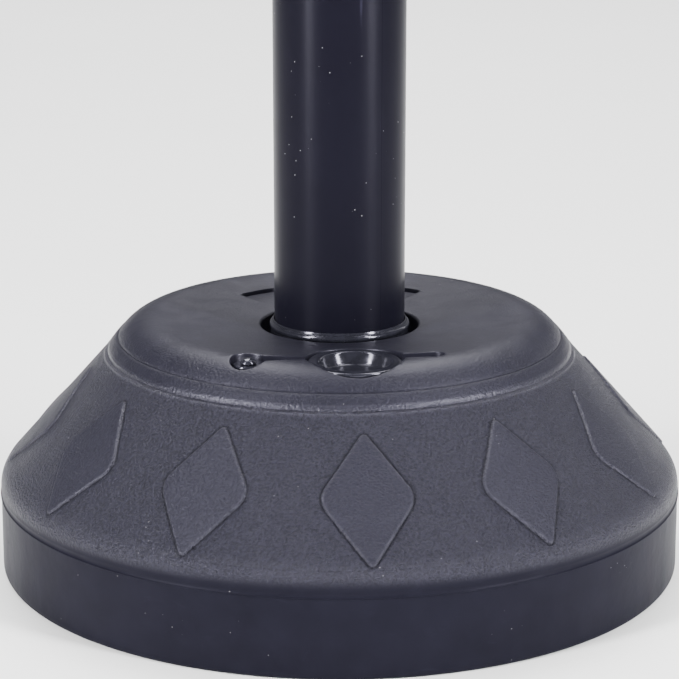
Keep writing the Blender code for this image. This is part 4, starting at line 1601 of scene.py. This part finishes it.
def build_shackle():
    """The bow shackle and its pin."""
    wire = 0.003
    bend = SHACKLE_REACH - SHACKLE_HALF
    points = [(bend * i / 14, -SHACKLE_HALF, 0) for i in range(14)]
    for i in range(25):
        a = radians(-90 + 180 * i / 24)
        points.append((bend + SHACKLE_HALF * cos(a), SHACKLE_HALF * sin(a), 0))
    points += [(bend * i / 14, SHACKLE_HALF, 0) for i in range(13, -1, -1)]
    bow = round_wire(points, wire, 24)
    quarter = [(0, 0.0029), (0.0055, 0.0029), (0.0062, 0.0022)]
    ear_profile = quarter + [(r, -z) for r, z in quarter[::-1]]
    ears = []
    for side in (-1, 1):
        turn = Matrix.Translation((0, side * SHACKLE_HALF, 0)) @ Matrix.Rotation(pi / 2, 4, "X")
        ears.append(turned("ear", ear_profile, 48, turn))
    mesh = forged("rope_shackle_forged", [bow, *ears], 0.00040, 4)
    bore_profile = [(0, 0.02), (0.0033, 0.02), (0.0033, -0.02), (0, -0.02)]
    bore = turned("bore", bore_profile, 40, Matrix.Rotation(pi / 2, 4, "X"))
    mesh = combine(mesh, [bore], "DIFFERENCE")
    mesh.transform(shackle_frame())
    nodes = ["rope_shackle"]
    made = [piece("rope_shackle_forged", mesh, "shackle", bright_zinc(), nodes, 50)]
    r = 0.003
    head = 0.0052
    thread = []
    for i in range(5):
        y = -0.0092 - 0.0007 * i
        thread += [(r, y), (r - 0.0003, y - 0.00035)]
    profile = [
        (0, 0.0140),
        (0.0022, 0.0140),
        (0.0026, 0.0145),
        (head - 0.0005, 0.0145),
        (head, 0.0140),
        (head, 0.0122),
        (head - 0.0004, 0.0118),
        (r, 0.0118),
        *thread,
        (r - 0.0006, -0.0128),
        (0, -0.0128),
    ]
    pin = turned("shackle_pin_threaded", profile, 48, Matrix.Rotation(pi / 2, 4, "X"))
    pin.transform(shackle_frame())
    nodes = ["shackle_pin"]
    made.append(piece("shackle_pin_threaded", pin, "shackle", bright_zinc(), nodes, 35))
    return made


def dress_frame_nodes():
    """Gives the hidden hardware that stays as it is in the frame its finish."""
    finishes = {
        "hard_nylon": nylon,
        "bright_zinc": bright_zinc,
        "spring_steel": spring_steel,
        "soft_vinyl": soft_vinyl,
    }
    slots = {part["node"]: part["material_slot"] for part in frame["record"]["subparts"]}
    for name, node in frame["nodes"].items():
        if node.hide_render or slots[name] not in finishes:
            continue
        finish = finishes[slots[name]]()
        for spot in node.material_slots:
            spot.material = finish


# ---------------------------------------------------------------- stage


def place_camera():
    stage = bpy.context.scene.tetherball_stage
    data = bpy.data.cameras.new("camera")
    data.lens = stage.lens
    data.sensor_width = 36
    camera = bpy.data.objects.new("camera", data)
    bpy.context.scene.collection.objects.link(camera)
    place = Vector((sin(stage.swing), -cos(stage.swing), 0)) * stage.distance
    place.z = stage.eye_height
    camera.location = place
    look = Vector((0, 0, stage.aim_height)) - place
    camera.rotation_euler = look.to_track_quat("-Z", "Y").to_euler()
    bpy.context.scene.camera = camera


def soft_box(name, round_angle, distance, height, width, tall, power, aim):
    """A rectangular light at an angle round from the camera's side, turned to a height on the Z axis."""
    data = bpy.data.lights.new(name, "AREA")
    data.shape = "RECTANGLE"
    data.size = width
    data.size_y = tall
    data.energy = power
    light = bpy.data.objects.new(name, data)
    bpy.context.scene.collection.objects.link(light)
    turn = radians(round_angle) + bpy.context.scene.tetherball_stage.swing
    light.location = (sin(turn) * distance, -cos(turn) * distance, height)
    look = Vector((0, 0, aim)) - light.location
    light.rotation_euler = look.to_track_quat("-Z", "Y").to_euler()
    light.visible_camera = False


def lay_floor():
    """A wide pale floor, with a faint unevenness."""
    shape = bmesh.new()
    bmesh.ops.create_grid(shape, x_segments=24, y_segments=24, size=9)
    mesh = to_mesh(shape, "floor")
    recipe = Recipe("pale_floor", Roughness=0.6)
    recipe.shader.inputs["Specular IOR Level"].default_value = 0.1
    cloud = recipe.noise(1.4, 3.0)
    base = recipe.mix(recipe.spread(cloud, 0.35, 0.65), (0.90, 0.90, 0.90), (0.92, 0.92, 0.92))
    recipe.bump(recipe.noise(240.0, 2.0), 0.00005, 0.3)
    mesh.materials.append(recipe.finish(base))
    floor = bpy.data.objects.new("floor", mesh)
    bpy.context.scene.collection.objects.link(floor)


def light_room():
    world = bpy.data.worlds.new("studio")
    bpy.context.scene.world = world
    world.use_nodes = True
    nodes = world.node_tree.nodes
    links = world.node_tree.links
    shade = nodes["Background"]
    shade.inputs["Color"].default_value = (0.96, 0.96, 1.0, 1)
    upward = nodes.new("ShaderNodeSeparateXYZ")
    links.new(nodes.new("ShaderNodeTexCoord").outputs["Generated"], upward.inputs[0])
    horizon = nodes.new("ShaderNodeMapRange")
    for label, number in (("From Min", 0.30), ("From Max", 0.65), ("To Min", 0.25), ("To Max", 0.05)):
        horizon.inputs[label].default_value = number
    links.new(upward.outputs["Z"], horizon.inputs["Value"])
    links.new(horizon.outputs[0], shade.inputs["Strength"])
    seen = nodes.new("ShaderNodeBackground")
    seen.inputs["Color"].default_value = (1, 1, 1, 1)
    seen.inputs["Strength"].default_value = 1.0
    path = nodes.new("ShaderNodeLightPath")
    mixed = nodes.new("ShaderNodeMixShader")
    links.new(path.outputs["Is Camera Ray"], mixed.inputs[0])
    links.new(shade.outputs[0], mixed.inputs[1])
    links.new(seen.outputs[0], mixed.inputs[2])
    links.new(mixed.outputs[0], nodes["World Output"].inputs[0])
    soft_box("key_left", -53, 2.0, 1.3, 0.30, 2.5, 160, 1.3)
    soft_box("key_right", 56, 2.0, 1.3, 0.30, 2.5, 160, 1.3)
    soft_box("overhead", 180, 2.6, 5.0, 4.4, 4.4, 760, -8.0)
    soft_box("edge_right", 132, 2.0, 1.2, 0.25, 1.8, 4, 0.5)


# ---------------------------------------------------------------- operators


class TETHERBALL_OT_stage(Operator):
    """Sets up the camera, the floor and the studio lights"""

    bl_idname = "tetherball.stage"
    bl_label = "Stage"

    def execute(self, context):
        place_camera()
        lay_floor()
        light_room()
        return {"FINISHED"}


class TETHERBALL_OT_base(Operator):
    """Builds the moulded base with its raised diamonds"""

    bl_idname = "tetherball.base"
    bl_label = "Base"

    def execute(self, context):
        build_base()
        return {"FINISHED"}


class TETHERBALL_OT_plug(Operator):
    """Builds the filler plug with its strap and stud"""

    bl_idname = "tetherball.plug"
    bl_label = "Filler plug"

    def execute(self, context):
        build_plug()
        build_strap()
        build_stud()
        return {"FINISHED"}


class TETHERBALL_OT_pole(Operator):
    """Builds the pole's sections and the sleeve at its foot"""

    bl_idname = "tetherball.pole"
    bl_label = "Pole"

    def execute(self, context):
        build_sleeve()
        build_pole()
        return {"FINISHED"}


class TETHERBALL_OT_fasteners(Operator):
    """Builds the rivets, the snap buttons and springs, and the foot's bolt and washer"""

    bl_idname = "tetherball.fasteners"
    bl_label = "Fasteners"

    def execute(self, context):
        build_rivets()
        build_buttons()
        build_springs()
        build_foot_hardware()
        return {"FINISHED"}


class TETHERBALL_OT_swivel(Operator):
    """Builds the cap, the swivel eye and the rope shackle"""

    bl_idname = "tetherball.swivel"
    bl_label = "Swivel and shackle"

    def execute(self, context):
        build_cap()
        build_eye()
        build_shackle()
        return {"FINISHED"}


class TETHERBALL_OT_hidden(Operator):
    """Gives the parts inside the pole their finishes"""

    bl_idname = "tetherball.hidden"
    bl_label = "Inner parts"

    def execute(self, context):
        dress_frame_nodes()
        return {"FINISHED"}


STEPS = ("stage", "base", "plug", "pole", "fasteners", "swivel", "hidden")


class TETHERBALL_PT_sidebar(Panel):
    """Lists the settings and the steps that build the set"""

    bl_idname = "TETHERBALL_PT_sidebar"
    bl_label = "Tetherball Set"
    bl_space_type = "VIEW_3D"
    bl_region_type = "UI"
    bl_category = "Tetherball"

    def draw(self, context):
        for group in ("base", "pole", "colours", "stage"):
            settings = getattr(context.scene, f"tetherball_{group}")
            box = self.layout.box()
            box.label(text=group.capitalize())
            for name in settings.__annotations__:
                box.prop(settings, name)
        for step in STEPS:
            self.layout.operator(f"tetherball.{step}")


SETTINGS = {
    "tetherball_base": TetherballBaseSettings,
    "tetherball_pole": TetherballPoleSettings,
    "tetherball_colours": TetherballColourSettings,
    "tetherball_stage": TetherballStageSettings,
}
CLASSES = (
    *SETTINGS.values(),
    TETHERBALL_OT_stage,
    TETHERBALL_OT_base,
    TETHERBALL_OT_plug,
    TETHERBALL_OT_pole,
    TETHERBALL_OT_fasteners,
    TETHERBALL_OT_swivel,
    TETHERBALL_OT_hidden,
    TETHERBALL_PT_sidebar,
)


def register():
    for cls in CLASSES:
        bpy.utils.register_class(cls)
    for name, cls in SETTINGS.items():
        setattr(bpy.types.Scene, name, bpy.props.PointerProperty(type=cls))


def unregister():
    for name in SETTINGS:
        delattr(bpy.types.Scene, name)
    for cls in reversed(CLASSES):
        bpy.utils.unregister_class(cls)


def main():
    register()
    for step in STEPS:
        getattr(bpy.ops.tetherball, step)()


if __name__ == "__main__":
    main()
